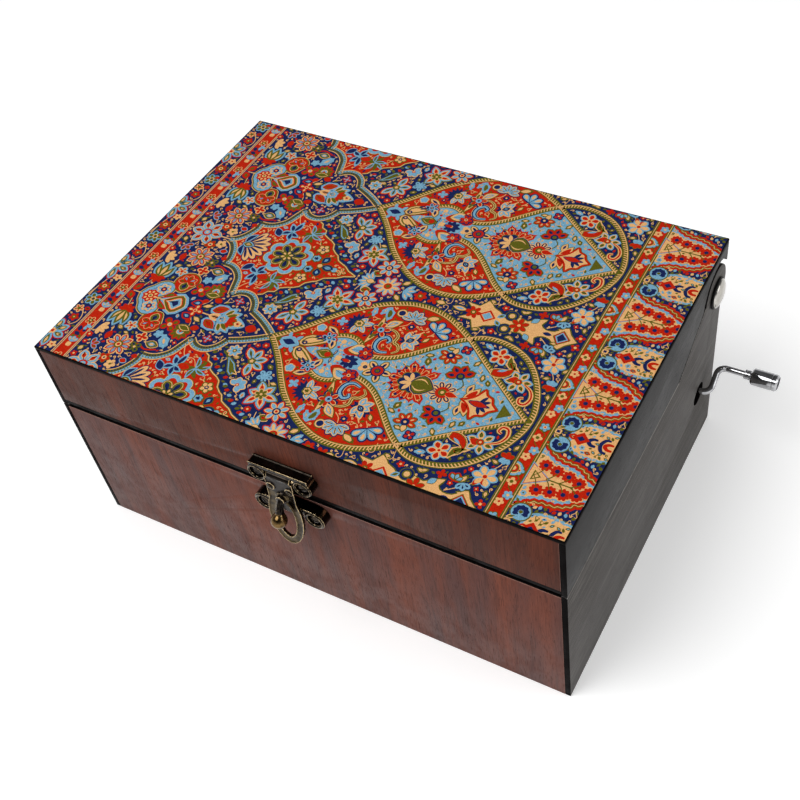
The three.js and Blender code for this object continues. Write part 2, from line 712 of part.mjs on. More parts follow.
// The worm's thread: a trapezium carried round a right-handed helix and closed at both ends.
function threadGeometry() {
  const { stepsPerTurn, wormTurns, backlash, pressureAngle, wormPitchRadius } = wormDrive;
  const core = wormRootRadius * wormDrive.threadFootShare;
  const halfAtPitch = wormCircularPitch / 4 - backlash / 4;
  const halfAt = (radius) => halfAtPitch - (radius - wormPitchRadius) * Math.tan(pressureAngle);
  const section = [[-halfAt(core), core], [-halfAt(wormTipRadius), wormTipRadius],
    [halfAt(wormTipRadius), wormTipRadius], [halfAt(core), core]];
  const count = stepsPerTurn * (wormTurns - 1);
  const start = -((wormTurns - 1) * wormCircularPitch) / 2;
  const positions = [];
  const index = [];
  for (let i = 0; i <= count; i += 1) {
    const turn = i / stepsPerTurn;
    const angle = 2 * Math.PI * turn - Math.PI * (wormTurns - 1);
    for (const [along, radius] of section) {
      const x = start + turn * wormCircularPitch + along;
      positions.push(x, -radius * Math.sin(angle), radius * Math.cos(angle));
    }
  }
  const n = section.length;
  for (let i = 0; i < count; i += 1) {
    for (let j = 0; j < n; j += 1) {
      const a = i * n + j;
      const b = i * n + ((j + 1) % n);
      index.push(a, a + n, b, b, a + n, b + n);
    }
  }
  const last = count * n;
  index.push(0, 1, 2, 0, 2, 3, last, last + 2, last + 1, last, last + 3, last + 2);
  const geometry = new THREE.BufferGeometry();
  geometry.setAttribute('position', new THREE.Float32BufferAttribute(positions, 3));
  geometry.setIndex(index);
  return geometry;
}

// The gear's teeth lean by the worm's lead angle, so the outline turns a little across the face.
function gearSolid() {
  const { teeth, backlash, pressureAngle, gearFace, wormPitchRadius } = wormDrive;
  const root = gearPitchRadius - wormDrive.module - wormDrive.tipClearance;
  const halfAtPitch = wormCircularPitch / 4 - backlash / 4;
  const halfAt = (radius) => halfAtPitch - (radius - gearPitchRadius) * Math.tan(pressureAngle);
  const points = [];
  for (let tooth = 0; tooth < teeth; tooth += 1) {
    const centre = -Math.PI / 2 + ((tooth + 0.5) * 2 * Math.PI) / teeth;
    for (const [radius, side] of [[root, -1], [gearTipRadius, -1], [gearTipRadius, 1], [root, 1]]) {
      const angle = centre + (side * halfAt(radius)) / radius;
      points.push(new THREE.Vector2(radius * Math.cos(angle), radius * Math.sin(angle)));
    }
  }
  const rim = towardsFront(new THREE.Shape(points), gearFace / 2, gearFace);
  const lean = wormCircularPitch / (2 * Math.PI * wormPitchRadius) / gearPitchRadius;
  const at = rim.attributes.position;
  for (let i = 0; i < at.count; i += 1) {
    const cos = Math.cos(-lean * at.getY(i));
    const sin = Math.sin(-lean * at.getY(i));
    const x = at.getX(i);
    const z = at.getZ(i);
    at.setXYZ(i, x * cos - z * sin, at.getY(i), x * sin + z * cos);
  }
  const hub = turnedY(rod(0, gearFace / 2 + wormDrive.gearHubLength, wormDrive.gearHubRadius), 0, 0);
  const bore = turnedY(rod(-gearFace - cutOverrun, gearFace + wormDrive.gearHubLength + cutOverrun,
    tune.arborRadius + clearance), 0, 0, 16);
  return cut(join(rim, hub), bore);
}

// Bearings of the crank shaft stand beside the worm, and bearings of the arbor beside gear and cylinder.
const wormHalf = wormLength / 2 + wormDrive.hubLength;
const lugX = [-1, 1].map((side) => drumX + side * (wormHalf + 2 * clearance + bedplate.bearing / 2));
const backPostY = crankY + wormDrive.gearFace / 2 + wormDrive.gearHubLength + bedplate.postGap
  + bedplate.bearing / 2;
const frontPostY = drumFront - bedplate.postGap - bedplate.bearing / 2;
const shaftEnd = lugX[0] - bedplate.bearing / 2 - clearance - bedplate.collarLength - bedplate.margin / 2;
const combTip = drumX - tune.drumRadius - tune.combGap;
const combEnd = combTip - tune.combLength;
const combTop = drumZ + tune.combThickness / 2;
const combBottom = drumZ - tune.combThickness / 2;
const combScrewX = combEnd + tune.combBase / 2;
const combScrewY = [drumFront + tune.screwInset, drumBack - tune.screwInset];
const plateLeft = combEnd - bedplate.margin;
const plateRight = lugX[1] + bedplate.bearing / 2 + bedplate.margin;
const plateFront = frontPostY - bedplate.bearing / 2 - bedplate.margin;
const plateBack = backPostY + bedplate.bearing / 2 + bedplate.margin / 2;
const cornerScrews = [
  [plateLeft + 2 * bedplate.margin, plateFront + 2 * bedplate.margin],
  [plateLeft + 2 * bedplate.margin, plateBack - 2 * bedplate.margin],
  [plateRight - 2 * bedplate.margin, plateFront + 2 * bedplate.margin],
];

// A screw seen from above: a hole along Z, and the screw itself set head up.
const holeDown = ([x, y], top, depth) =>
  turnedZ(rod(top - depth, top + cutOverrun, movementScrew.shankRadius + clearance), x, y, 12);

function buildMovementFrame() {
  const group = new THREE.Group();
  const blockTop = bedBottom;
  const wood = solidOf(block(
    [plateLeft - inside.blockMargin, plateRight + inside.blockMargin],
    [plateFront - inside.blockMargin, plateBack + inside.blockMargin], [caseSize.board, blockTop]));
  const cornerDepth = bedplate.thickness + movementScrew.grip + clearance;
  const cornerHoles = cornerScrews.map((at) => holeDown(at, bedTop, cornerDepth));
  addPiece(group, 'mounting_block', cut(wood, ...cornerHoles), finishes.rawBoard);

  const plate = block([plateLeft, plateRight], [plateFront, plateBack], [bedBottom, bedTop]);
  const seat = block([plateLeft, combEnd + tune.combBase], [drumFront, drumBack],
    [bedBottom, combBottom]);
  const posts = [frontPostY, backPostY].flatMap((y) => [
    block([drumX - bedplate.postWidth / 2, drumX + bedplate.postWidth / 2],
      [y - bedplate.bearing / 2, y + bedplate.bearing / 2], [bedBottom, drumZ]),
    turnedY(rod(y - bedplate.bearing / 2, y + bedplate.bearing / 2, bedplate.postCrown), drumX, drumZ),
  ]);
  const lugs = lugX.flatMap((x) => [
    block([x - bedplate.bearing / 2, x + bedplate.bearing / 2],
      [crankY - bedplate.lugWidth / 2, crankY + bedplate.lugWidth / 2], [bedBottom, crank.height]),
    turnedX(rod(x - bedplate.bearing / 2, x + bedplate.bearing / 2, bedplate.lugCrown),
      crankY, crank.height),
  ]);
  const arborHole = turnedY(rod(plateFront, plateBack, tune.arborRadius + clearance), drumX, drumZ, 16);
  const shaftHole = turnedX(rod(plateLeft, plateRight, crank.wireRadius + clearance),
    crankY, crank.height, 16);
  const combDepth = combTop - combBottom + movementScrew.grip + clearance;
  const casting = cut(join(plate, seat, ...posts, ...lugs), arborHole, shaftHole,
    ...cornerHoles, ...combScrewY.map((y) => holeDown([combScrewX, y], combTop, combDepth)));
  addPiece(group, 'bedplate', casting, finishes.castZinc);

  // The comb: graduated slots part its teeth, deepest at the low notes.
  const combPlate = solidOf(block([combEnd, combTip], [drumFront, drumBack], [combBottom, combTop]));
  const slots = Array.from({ length: tune.tracks + 1 }, (_, i) => {
    const y = drumFront + tune.endMargin + i * tune.trackPitch;
    const longSlot = tune.combLength - tune.combBase;
    const depth = tune.shortSlot + (longSlot - tune.shortSlot) * (1 - i / tune.tracks);
    return block([combTip - depth, combTip + cutOverrun], [y - tune.toothGap / 2, y + tune.toothGap / 2],
      [combBottom - cutOverrun, combTop + cutOverrun]);
  });
  const combHoles = combScrewY.map((y) => holeDown([combScrewX, y], combTop, combDepth));
  addPiece(group, 'comb', cut(combPlate, ...slots, ...combHoles), finishes.steel);

  const clampTop = combTop + tune.clampThickness;
  const clamp = solidOf(block([combScrewX - tune.clampWidth / 2, combScrewX + tune.clampWidth / 2],
    [drumFront, drumBack], [combTop, clampTop]));
  const clampHoles = combScrewY.map((y) => holeDown([combScrewX, y], clampTop, combDepth));
  addPiece(group, 'comb_clamp', cut(clamp, ...clampHoles), finishes.brass);

  const headUp = (name, x, y, seatZ, length) => {
    const screw = addPiece(group, name, slottedScrew(movementScrew, length), finishes.steel);
    screw.position.set(x, y, seatZ);
    screw.rotation.x = -Math.PI / 2;
  };
  combScrewY.forEach((y, i) =>
    headUp(`comb_screw_${i + 1}`, combScrewX, y, clampTop, tune.clampThickness + movementScrew.grip));
  cornerScrews.forEach(([x, y], i) =>
    headUp(`bedplate_screw_${i + 1}`, x, y, bedTop, bedplate.thickness + movementScrew.grip));
  return group;
}

function buildCrank() {
  const group = new THREE.Group();
  const armX = right + crank.armReach;
  const knobStart = right + crank.knobReach;
  const knobEnd = knobStart + crank.knobLength;
  const wireEnd = knobEnd - crank.headRecess + clearance;
  const direction = [Math.cos(crank.restAngle), Math.sin(crank.restAngle)];
  const wirePath = new CrankPath(shaftEnd, armX, wireEnd, direction);
  const wire = new THREE.ExtrudeGeometry(circleShape(0, 0, crank.wireRadius),
    { steps: crank.steps, extrudePath: wirePath, curveSegments: crank.sides / 2 });
  const knobY = crank.throw * direction[0];
  const knobZ = crank.throw * direction[1];
  const upsetHead = turnedX(rod(wireEnd, wireEnd + crank.headHeight, crank.headRadius),
    knobY, knobZ, 16);
  const headNeck = turnedX(rod(wireEnd - clearance, wireEnd + clearance, crank.wireRadius),
    knobY, knobZ, 12);
  group.position.set(0, crankY, crank.height);
  addPiece(group, 'crank_wire', join(wire, headNeck, upsetHead), finishes.steel);

  const bore = crank.wireRadius + clearance;
  const ferruleEnd = knobStart - clearance;
  addPiece(group, 'crank_ferrule',
    turnedX(tube(ferruleEnd - crank.ferruleLength, ferruleEnd, bore, crank.ferruleRadius),
      knobY, knobZ, 20),
    finishes.chrome);

  const recessFloor = knobEnd - crank.headRecess;
  const recessRadius = crank.headRadius + clearance;
  const c = crank.knobChamfer;
  const knobProfile = [
    [knobStart, bore], [knobStart, crank.knobRadius - c], [knobStart + c, crank.knobRadius],
    [knobEnd - c, crank.knobRadius], [knobEnd, crank.knobRadius - c], [knobEnd, recessRadius],
    [recessFloor, recessRadius], [recessFloor, bore], [knobStart, bore],
  ];
  addPiece(group, 'crank_knob', turnedX(knobProfile, knobY, knobZ, 32), finishes.chrome);

  const worm = join(threadGeometry(),
    turnedX(rod(-wormHalf, wormHalf, wormRootRadius), 0, 0, wormDrive.stepsPerTurn));
  const wormBore = turnedX(rod(-wormHalf - cutOverrun, wormHalf + cutOverrun, bore),
    0, 0, wormDrive.stepsPerTurn);
  const wormPiece = addPiece(group, 'drive_worm', cut(worm, wormBore), finishes.brass);
  wormPiece.position.x = drumX;

  const collarEnd = lugX[0] - bedplate.bearing / 2 - clearance;
  addPiece(group, 'shaft_collar',
    turnedX(tube(collarEnd - bedplate.collarLength, collarEnd, bore, bedplate.collarRadius), 0, 0, 20),
    finishes.brass);
  return group;
}

function buildCylinder() {
  const group = new THREE.Group();
  group.position.set(drumX, 0, drumZ);
  const arborFront = frontPostY - bedplate.bearing / 2 - bedplate.margin;
  const arborBack = backPostY + bedplate.bearing / 2 + clearance;
  addPiece(group, 'cylinder_arbor', turnedY(rod(arborFront, arborBack, tune.arborRadius), 0, 0, 16),
    finishes.steel);

  const bore = tune.arborRadius + clearance;
  const barrel = solidOf(turnedY(tube(drumFront, drumBack, bore, tune.drumRadius), 0, 0, 40));
  const pins = [];
  for (let track = 0; track < tune.tracks; track += 1) {
    for (let k = 0; k < tune.pinsPerTrack; k += 1) {
      const station = (track * tune.trackStride + k * tune.noteStride) % tune.pinStations;
      const y = drumFront + tune.endMargin + (track + 1 / 2) * tune.trackPitch;
      const pin = block([-tune.pinWidth / 2, tune.pinWidth / 2],
        [y - tune.pinWidth / 2, y + tune.pinWidth / 2],
        [tune.drumRadius - cutOverrun, tune.drumRadius + tune.pinHeight]);
      pins.push(pin.rotateY((2 * Math.PI * station) / tune.pinStations));
    }
  }
  addPiece(group, 'cylinder_drum', pins.map(solidOf).reduce((a, b) => a.add(b), barrel), finishes.brass);

  const gear = addPiece(group, 'cylinder_gear', gearSolid(), finishes.brass);
  gear.position.y = crankY;

  const clipBack = frontPostY - bedplate.bearing / 2 - clearance;
  addPiece(group, 'arbor_clip',
    turnedY(tube(clipBack - bedplate.clipThickness, clipBack, bore, bedplate.clipRadius), 0, 0, 20),
    finishes.steel);
  return group;
}

const musicBox = new THREE.Group();
musicBox.add(buildBody(), buildLid(), buildLatch(), buildMovementFrame(), buildCrank(), buildCylinder());

export default musicBox;
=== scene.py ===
"""Looks of the wooden music box with a printed lid, a cast hasp latch and a bent wire crank.

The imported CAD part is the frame. Lengths are in millimetres and become metres where a mesh is made. +X is
the crank side, -Y the latch side and +Z goes up through the printed lid.
"""

from __future__ import annotations

import json
import logging
import math
import random
from contextlib import contextmanager
from dataclasses import dataclass, field
from enum import Enum
from typing import Callable, Iterator, Sequence

import bmesh
import bpy
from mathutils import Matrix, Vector


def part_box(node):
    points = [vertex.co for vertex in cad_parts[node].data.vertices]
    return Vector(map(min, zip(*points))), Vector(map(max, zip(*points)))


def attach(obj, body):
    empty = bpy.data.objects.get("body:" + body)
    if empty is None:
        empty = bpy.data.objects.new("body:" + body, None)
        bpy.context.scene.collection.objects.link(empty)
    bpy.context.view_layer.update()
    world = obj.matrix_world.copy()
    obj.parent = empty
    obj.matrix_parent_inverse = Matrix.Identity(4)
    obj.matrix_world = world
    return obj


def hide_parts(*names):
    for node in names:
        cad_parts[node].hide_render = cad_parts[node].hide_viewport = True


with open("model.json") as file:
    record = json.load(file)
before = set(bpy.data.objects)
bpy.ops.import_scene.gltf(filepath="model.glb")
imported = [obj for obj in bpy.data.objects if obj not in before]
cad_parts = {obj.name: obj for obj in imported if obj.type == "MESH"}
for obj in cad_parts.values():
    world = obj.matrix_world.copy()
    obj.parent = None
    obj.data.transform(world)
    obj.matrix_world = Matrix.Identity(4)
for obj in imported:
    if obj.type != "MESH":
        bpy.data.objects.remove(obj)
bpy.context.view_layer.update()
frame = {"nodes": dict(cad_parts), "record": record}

MM = 0.001
MERGE = 0.002
SMOOTH_ANGLE = 35
LOG = logging.getLogger("music_box")
Point = tuple[float, float]
Place = tuple[float, float, float]
Path = Sequence[Point]
Colour = tuple[float, float, float]
Obj = bpy.types.Object
Node = bpy.types.Node
Socket = bpy.types.NodeSocket
Test = Callable[[Vector, Vector], bool]


class Body(str, Enum):
    """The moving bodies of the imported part."""

    CASE = "case"
    LID = "lid"
    HASP = "hasp"
    LEVER = "ball_lever"
    CRANK = "crank"
    KNOB = "knob"
    CYLINDER = "cylinder"


class Slot(str, Enum):
    """The material slots of the record."""

    PRINT = "printed_lid"
    VENEER = "walnut_veneer"
    LACQUER = "black_lacquer"
    BOARD = "raw_board"
    BRONZE = "antique_bronze"
    CHROME = "chrome"
    STEEL = "steel"
    BRASS = "movement_brass"
    ZINC = "cast_zinc"
    WASHER = "black_washer"


class Axis(Enum):
    """The way a turned piece or a grain runs, as the Euler angles that lay +Z along it."""

    X = (0.0, math.pi / 2, 0.0)
    Y = (-math.pi / 2, 0.0, 0.0)
    Z = (0.0, 0.0, 0.0)


def metres(place: Sequence[float]) -> list[float]:
    """A place in millimetres, in metres."""
    return [c * MM for c in place]


def deselect_all() -> None:
    """Deselects every object."""
    bpy.ops.object.select_all(action="DESELECT")


def only(obj: Obj) -> None:
    """Makes obj the one selected and active object."""
    deselect_all()
    obj.select_set(True)
    bpy.context.view_layer.objects.active = obj


@contextmanager
def editing(obj: Obj, mode: str = "FACE") -> Iterator[None]:
    """Opens obj in edit mode with nothing selected, and goes back to object mode.

    Args:
        obj: The object to edit.
        mode: VERT, EDGE or FACE, the kind of element that is selected.
    """
    only(obj)
    bpy.ops.object.mode_set(mode="EDIT")
    bpy.ops.mesh.select_mode(type=mode)
    bpy.ops.mesh.select_all(action="DESELECT")
    yield
    bpy.ops.object.mode_set(mode="OBJECT")


def pick_faces(obj: Obj, test: Test) -> None:
    """Selects faces of an object in edit mode.

    Args:
        obj: The object.
        test: Takes a face's centre in millimetres and its normal, and says if it is wanted.
    """
    mesh = bmesh.from_edit_mesh(obj.data)
    for face in mesh.faces:
        face.select_set(test(face.calc_center_median() / MM, face.normal))
    bmesh.update_edit_mesh(obj.data)


def merge_all(apart: float = MERGE) -> None:
    """Selects the whole mesh in edit mode and merges its points that are less than apart away."""
    bpy.ops.mesh.select_all(action="SELECT")
    bpy.ops.mesh.remove_doubles(threshold=apart * MM)


def new_object(name: str, data: bpy.types.ID) -> Obj:
    """A new object of the scene that holds some data."""
    obj = bpy.data.objects.new(name, data)
    bpy.context.scene.collection.objects.link(obj)
    return obj


def seat(obj: Obj) -> None:
    """Puts an object's place, turn and scale into its mesh, so that it sits at the origin."""
    only(obj)
    bpy.ops.object.transform_apply(location=True, rotation=True, scale=True)


def modify(obj: Obj, kind: str, **settings: object) -> None:
    """Applies one modifier to an object.

    Args:
        obj: The object.
        kind: The modifier's type.
        settings: The modifier's settings.
    """
    only(obj)
    modifier = obj.modifiers.new(kind, kind)
    for key, value in settings.items():
        setattr(modifier, key, value)
    bpy.ops.object.modifier_apply(modifier=modifier.name)


def ease_edges(obj: Obj, width: float, angle: float = 40.0) -> None:
    """Rounds an object's sharp edges and smooths what is left.

    Args:
        obj: The object.
        width: The width of the rounding.
        angle: The least angle between two faces, in degrees, that counts as an edge.
    """
    limit = math.radians(angle)
    modify(obj, "BEVEL", width=width * MM, segments=2, limit_method="ANGLE", angle_limit=limit)
    bpy.ops.object.shade_smooth_by_angle(angle=limit)


def block(name: str, low: Place, high: Place) -> Obj:
    """A cuboid between two corners, as a start for a piece."""
    deselect_all()
    centre = [(a + b) / 2 * MM for a, b in zip(low, high)]
    bpy.ops.mesh.primitive_cube_add(size=1.0, location=centre)
    obj = bpy.context.object
    obj.name = obj.data.name = name
    obj.scale = [(b - a) * MM for a, b in zip(low, high)]
    seat(obj)
    return obj


def turned(name: str, profile: Path, centre: Place, axis: Axis | Vector, steps: int = 48) -> Obj:
    """A piece turned on a lathe.

    Args:
        name: The piece's name.
        profile: Points (along the axis, radius), from the axis out and back to it.
        centre: The place of the profile's zero.
        axis: The way the piece's axis runs.
        steps: How many faces go round.

    Returns:
        The closed piece, at the origin.
    """
    data = bpy.data.meshes.new(name)
    steps_along = [(i, i + 1) for i in range(len(profile) - 1)]
    data.from_pydata([(r * MM, 0.0, z * MM) for z, r in profile], steps_along, [])
    obj = new_object(name, data)
    with editing(obj, "VERT"):
        bpy.ops.mesh.select_all(action="SELECT")
        bpy.ops.mesh.spin(steps=steps, angle=math.tau, center=(0, 0, 0), axis=(0, 0, 1))
        merge_all()
        bpy.ops.mesh.normals_make_consistent(inside=False)
    obj.rotation_euler = axis.value if isinstance(axis, Axis) else axis.to_track_quat("Z", "X").to_euler()
    obj.location = metres(centre)
    seat(obj)
    bpy.ops.object.shade_smooth_by_angle(angle=math.radians(SMOOTH_ANGLE))
    return obj


def hoop(centre: Place, radius: float, thickness: float) -> Obj:
    """A round wire ring that faces along Y, as a start for a raised line."""
    deselect_all()
    bpy.ops.mesh.primitive_torus_add(
        location=metres(centre), rotation=Axis.Y.value, major_radius=radius * MM, minor_radius=thickness * MM,
        major_segments=40, minor_segments=10)
    return bpy.context.object


def wire(name: str, path: Sequence[Place], radius: float) -> Obj:
    """A round wire with closed ends that follows a path.

    Args:
        name: The piece's name.
        path: The points of its middle line.
        radius: Its radius.

    Returns:
        The wire as a mesh, at the origin.
    """
    data = bpy.data.curves.new(name, "CURVE")
    data.dimensions = "3D"
    data.bevel_depth = radius * MM
    data.bevel_resolution = 6
    data.use_fill_caps = True
    spline = data.splines.new("POLY")
    spline.points.add(len(path) - 1)
    for point, place in zip(spline.points, path):
        point.co = (*metres(place), 1.0)
    only(new_object(name, data))
    bpy.ops.object.convert(target="MESH")
    obj = bpy.context.object
    with editing(obj, "VERT"):
        merge_all()
    bpy.ops.object.shade_smooth_by_angle(angle=math.radians(50))
    return obj


def joined(first: Obj, *others: Obj) -> Obj:
    """Makes several objects one, under the first one's name."""
    only(first)
    for other in others:
        other.select_set(True)
    bpy.ops.object.join()
    return first


def cut_away(obj: Obj, cutter: Obj) -> None:
    """Cuts a second solid out of an object, and deletes the cutter."""
    modify(obj, "BOOLEAN", operation="DIFFERENCE", object=cutter)
    bpy.data.objects.remove(cutter)
    bpy.ops.object.shade_smooth_by_angle(angle=math.radians(SMOOTH_ANGLE))


def melt(obj: Obj, grain: float) -> None:
    """Melts joined shapes into the soft skin of a casting, whose faces are of the size of its grain."""
    modify(obj, "REMESH", mode="VOXEL", voxel_size=grain * MM)
    modify(obj, "SMOOTH", iterations=3)
    bpy.ops.object.shade_smooth()


def paint(obj: Obj, finish: Finish, test: Test) -> None:
    """Gives some faces of a dressed piece a second finish, chosen by their centre and normal."""
    obj.data.materials.append(finish.material())
    with editing(obj):
        pick_faces(obj, test)
        obj.active_material_index = len(obj.data.materials) - 1
        bpy.ops.object.material_slot_assign()


def copy_of(node: str, name: str) -> Obj:
    """A merged copy of a CAD node's mesh, free to be worked on."""
    obj = new_object(name, frame["nodes"][node].data.copy())
    obj.data.name = name
    obj.data.materials.clear()
    with editing(obj, "VERT"):
        merge_all(MERGE / 2)
        bpy.ops.mesh.dissolve_limited(angle_limit=math.radians(0.5))
    return obj


def srgb(colour: Colour) -> Colour:
    """Turns a colour as it is seen, 0 to 255, into the linear values of a shader."""
    shares = [value / 255 for value in colour]
    return tuple(s / 12.92 if s <= 0.04045 else ((s + 0.055) / 1.055) ** 2.4 for s in shares)


class Graph:
    """A node tree that is built node by node."""

    def __init__(self, tree: bpy.types.NodeTree) -> None:
        """Starts on an existing tree."""
        self.tree = tree

    def add(self, kind: str, inputs: dict | None = None, **settings: object) -> Node:
        """Adds a node.

        Args:
            kind: The node's type without its ShaderNode prefix.
            inputs: What its sockets get.
            settings: The node's own settings.

        Returns:
            The new node.
        """
        node = self.tree.nodes.new(kind if kind.startswith("NodeGroup") else "ShaderNode" + kind)
        for key, value in settings.items():
            setattr(node, key, value)
        self.feed(node, inputs or {})
        return node

    def feed(self, node: Node, inputs: dict) -> None:
        """Gives sockets of a node, by name or number, a value or a link to another socket."""
        for key, value in inputs.items():
            socket = node.inputs[key]
            if isinstance(value, Socket):
                self.tree.links.new(value, socket)
            else:
                socket.default_value = (*value, 1.0) if socket.type == "RGBA" else value

    def math(self, operation: str, a: object, b: object, clamp: bool = False) -> Socket:
        """Works out one sum."""
        return self.add("Math", {0: a, 1: b}, operation=operation, use_clamp=clamp).outputs[0]

    def times(self, a: object, b: object) -> Socket:
        """Multiplies two values."""
        return self.math("MULTIPLY", a, b)

    def scale(self, vector: Socket, factors: Place, turn: Place = (0.0, 0.0, 0.0)) -> Socket:
        """Turns and then stretches a vector."""
        turned_vector = self.add("Mapping", {"Vector": vector, "Rotation": turn}).outputs[0]
        return self.add("VectorMath", {0: turned_vector, 1: factors}, operation="MULTIPLY").outputs[0]

    def noise(self, vector: Socket, scale: object, detail: float = 4.0, rough: float = 0.55) -> Socket:
        """A noise, 0 to 1."""
        inputs = {"Vector": vector, "Scale": scale, "Detail": detail, "Roughness": rough}
        return self.add("TexNoise", inputs).outputs["Fac"]

    def ramp(self, value: Socket, low: object, high: object, start: float = 0.0, end: float = 1.0) -> Socket:
        """Maps low..high to start..end, smoothly and clamped."""
        inputs = {"Value": value, "From Min": low, "From Max": high, "To Min": start, "To Max": end}
        return self.add("MapRange", inputs, interpolation_type="SMOOTHSTEP").outputs["Result"]

    def mix(self, share: Socket, a: object, b: object) -> Socket:
        """Mixes two colours."""
        return self.add("Mix", {0: share, 6: a, 7: b}, data_type="RGBA").outputs[2]

    def bump(self, height: Socket, depth: float) -> Socket:
        """The normal of a height, 0 to 1, that stands for some depth."""
        return self.add("Bump", {"Strength": 1.0, "Distance": depth * MM, "Height": height}).outputs[0]


@dataclass(frozen=True)
class Effect:
    """An effect that more than one material uses, kept as a shader node group with a vector and a value."""

    name: str
    value: str
    outputs: tuple[str, ...]
    wire: Callable[[Graph, Socket, Socket], dict[str, Socket]]

    def tree(self) -> bpy.types.NodeTree:
        """The effect's node group, built the first time it is asked for."""
        if self.name in bpy.data.node_groups:
            return bpy.data.node_groups[self.name]
        tree = bpy.data.node_groups.new(self.name, "ShaderNodeTree")
        sockets = [("Vector", "INPUT", "Vector"), (self.value, "INPUT", "Float")]
        for name, way, kind in sockets + [(name, "OUTPUT", "Float") for name in self.outputs]:
            tree.interface.new_socket(name, in_out=way, socket_type="NodeSocket" + kind)
        graph = Graph(tree)
        given = graph.add("NodeGroupInput").outputs
        graph.feed(graph.add("NodeGroupOutput"), self.wire(graph, given["Vector"], given[self.value]))
        return tree

    def place(self, g: Graph, vector: Socket, value: float) -> bpy.types.NodeOutputs:
        """Places the effect in a material's graph, with the value of that material."""
        inputs = {"Vector": vector, self.value: value}
        return g.add("Group", inputs, node_tree=self.tree()).outputs


def wire_grain(g: Graph, place: Socket, wander: Socket) -> dict[str, Socket]:
    """Wood grain along X: broad figure, fine fibre, short open pores and long lines."""
    bend = g.noise(g.scale(place, (0.012, 0.05, 0.05)), 1.0, 2.0)
    offset = g.add("CombineXYZ", {"Y": g.times(bend, wander), "Z": g.times(bend, 3.0)}).outputs[0]
    bent = g.add("VectorMath", {0: place, 1: offset}, operation="ADD").outputs[0]
    kinds = (
        ("Figure", (0.008, 0.09, 0.09), 4.0, 0.55, 0.3, 0.7),
        ("Fibre", (0.05, 2.4, 2.4), 5.0, 0.7, 0.28, 0.72),
        ("Pores", (0.22, 4.2, 4.2), 2.0, 0.5, 0.56, 0.7),
        ("Lines", (0.03, 1.0, 1.0), 4.0, 0.6, 0.48, 0.66),
    )
    return {name: g.ramp(g.noise(g.scale(bent, factors), 1.0, detail, rough), low, high)
            for name, factors, detail, rough, low, high in kinds}


def wire_wear(g: Graph, place: Socket, width: Socket) -> dict[str, Socket]:
    """Worn edges and dark hollows from the mesh's pointiness, broken up by noise."""
    point = g.add("NewGeometry").outputs["Pointiness"]
    broken = g.noise(place, 1.6, 4.0, 0.65)
    shifted = g.math("ADD", point, g.times(g.math("SUBTRACT", broken, 0.5), 0.06))
    half = g.times(width, 0.5)
    edge = g.ramp(shifted, g.math("ADD", 0.5, g.times(half, 0.4)), g.math("ADD", 0.5, half))
    hollow = g.ramp(shifted, g.math("SUBTRACT", 0.5, g.times(half, 0.3)), g.math("SUBTRACT", 0.5, half))
    return {"Edge": edge, "Hollow": hollow}


def wire_scuffs(g: Graph, place: Socket, scale: Socket) -> dict[str, Socket]:
    """Cloudy smears and fine scratches that break up a gloss."""
    cloud = g.noise(place, g.times(scale, 0.12), 5.0, 0.6)
    line = g.noise(g.scale(place, (0.25, 5.0, 5.0), (0.3, 0.5, 0.7)), scale, 2.0, 0.4)
    return {"Smear": g.ramp(cloud, 0.35, 0.7), "Scratch": g.ramp(line, 0.6, 0.68)}


GRAIN = Effect("wood_grain", "Wander", ("Figure", "Fibre", "Pores", "Lines"), wire_grain)
WEAR = Effect("edge_wear", "Width", ("Edge", "Hollow"), wire_wear)
SCUFFS = Effect("scuffs", "Scale", ("Smear", "Scratch"), wire_scuffs)


@dataclass(frozen=True)
class Finish:
    """What every finish has: a name, and a Principled shader on coordinates in millimetres."""

    name: str

    def material(self) -> bpy.types.Material:
        """The finish's material, made the first time it is asked for."""
        known = bpy.data.materials.get(self.name)
        if known:
            return known
        made = bpy.data.materials.new(self.name)
        made.use_nodes = True
        g = Graph(made.node_tree)
        coordinates = g.add("TexCoord").outputs["Object"]
        place = g.add("VectorMath", {0: coordinates, 1: (1 / MM,) * 3}, operation="MULTIPLY").outputs[0]
        g.feed(made.node_tree.nodes["Principled BSDF"], self.look(g, place))
        return made

    def look(self, g: Graph, place: Socket) -> dict[str, object]:
        """What the shader's sockets get, worked out in its graph. Each finish has its own."""
        raise NotImplementedError

    def dress(self, obj: Obj) -> None:
        """Gives the whole object this finish."""
        obj.data.materials.clear()
        obj.data.materials.append(self.material())


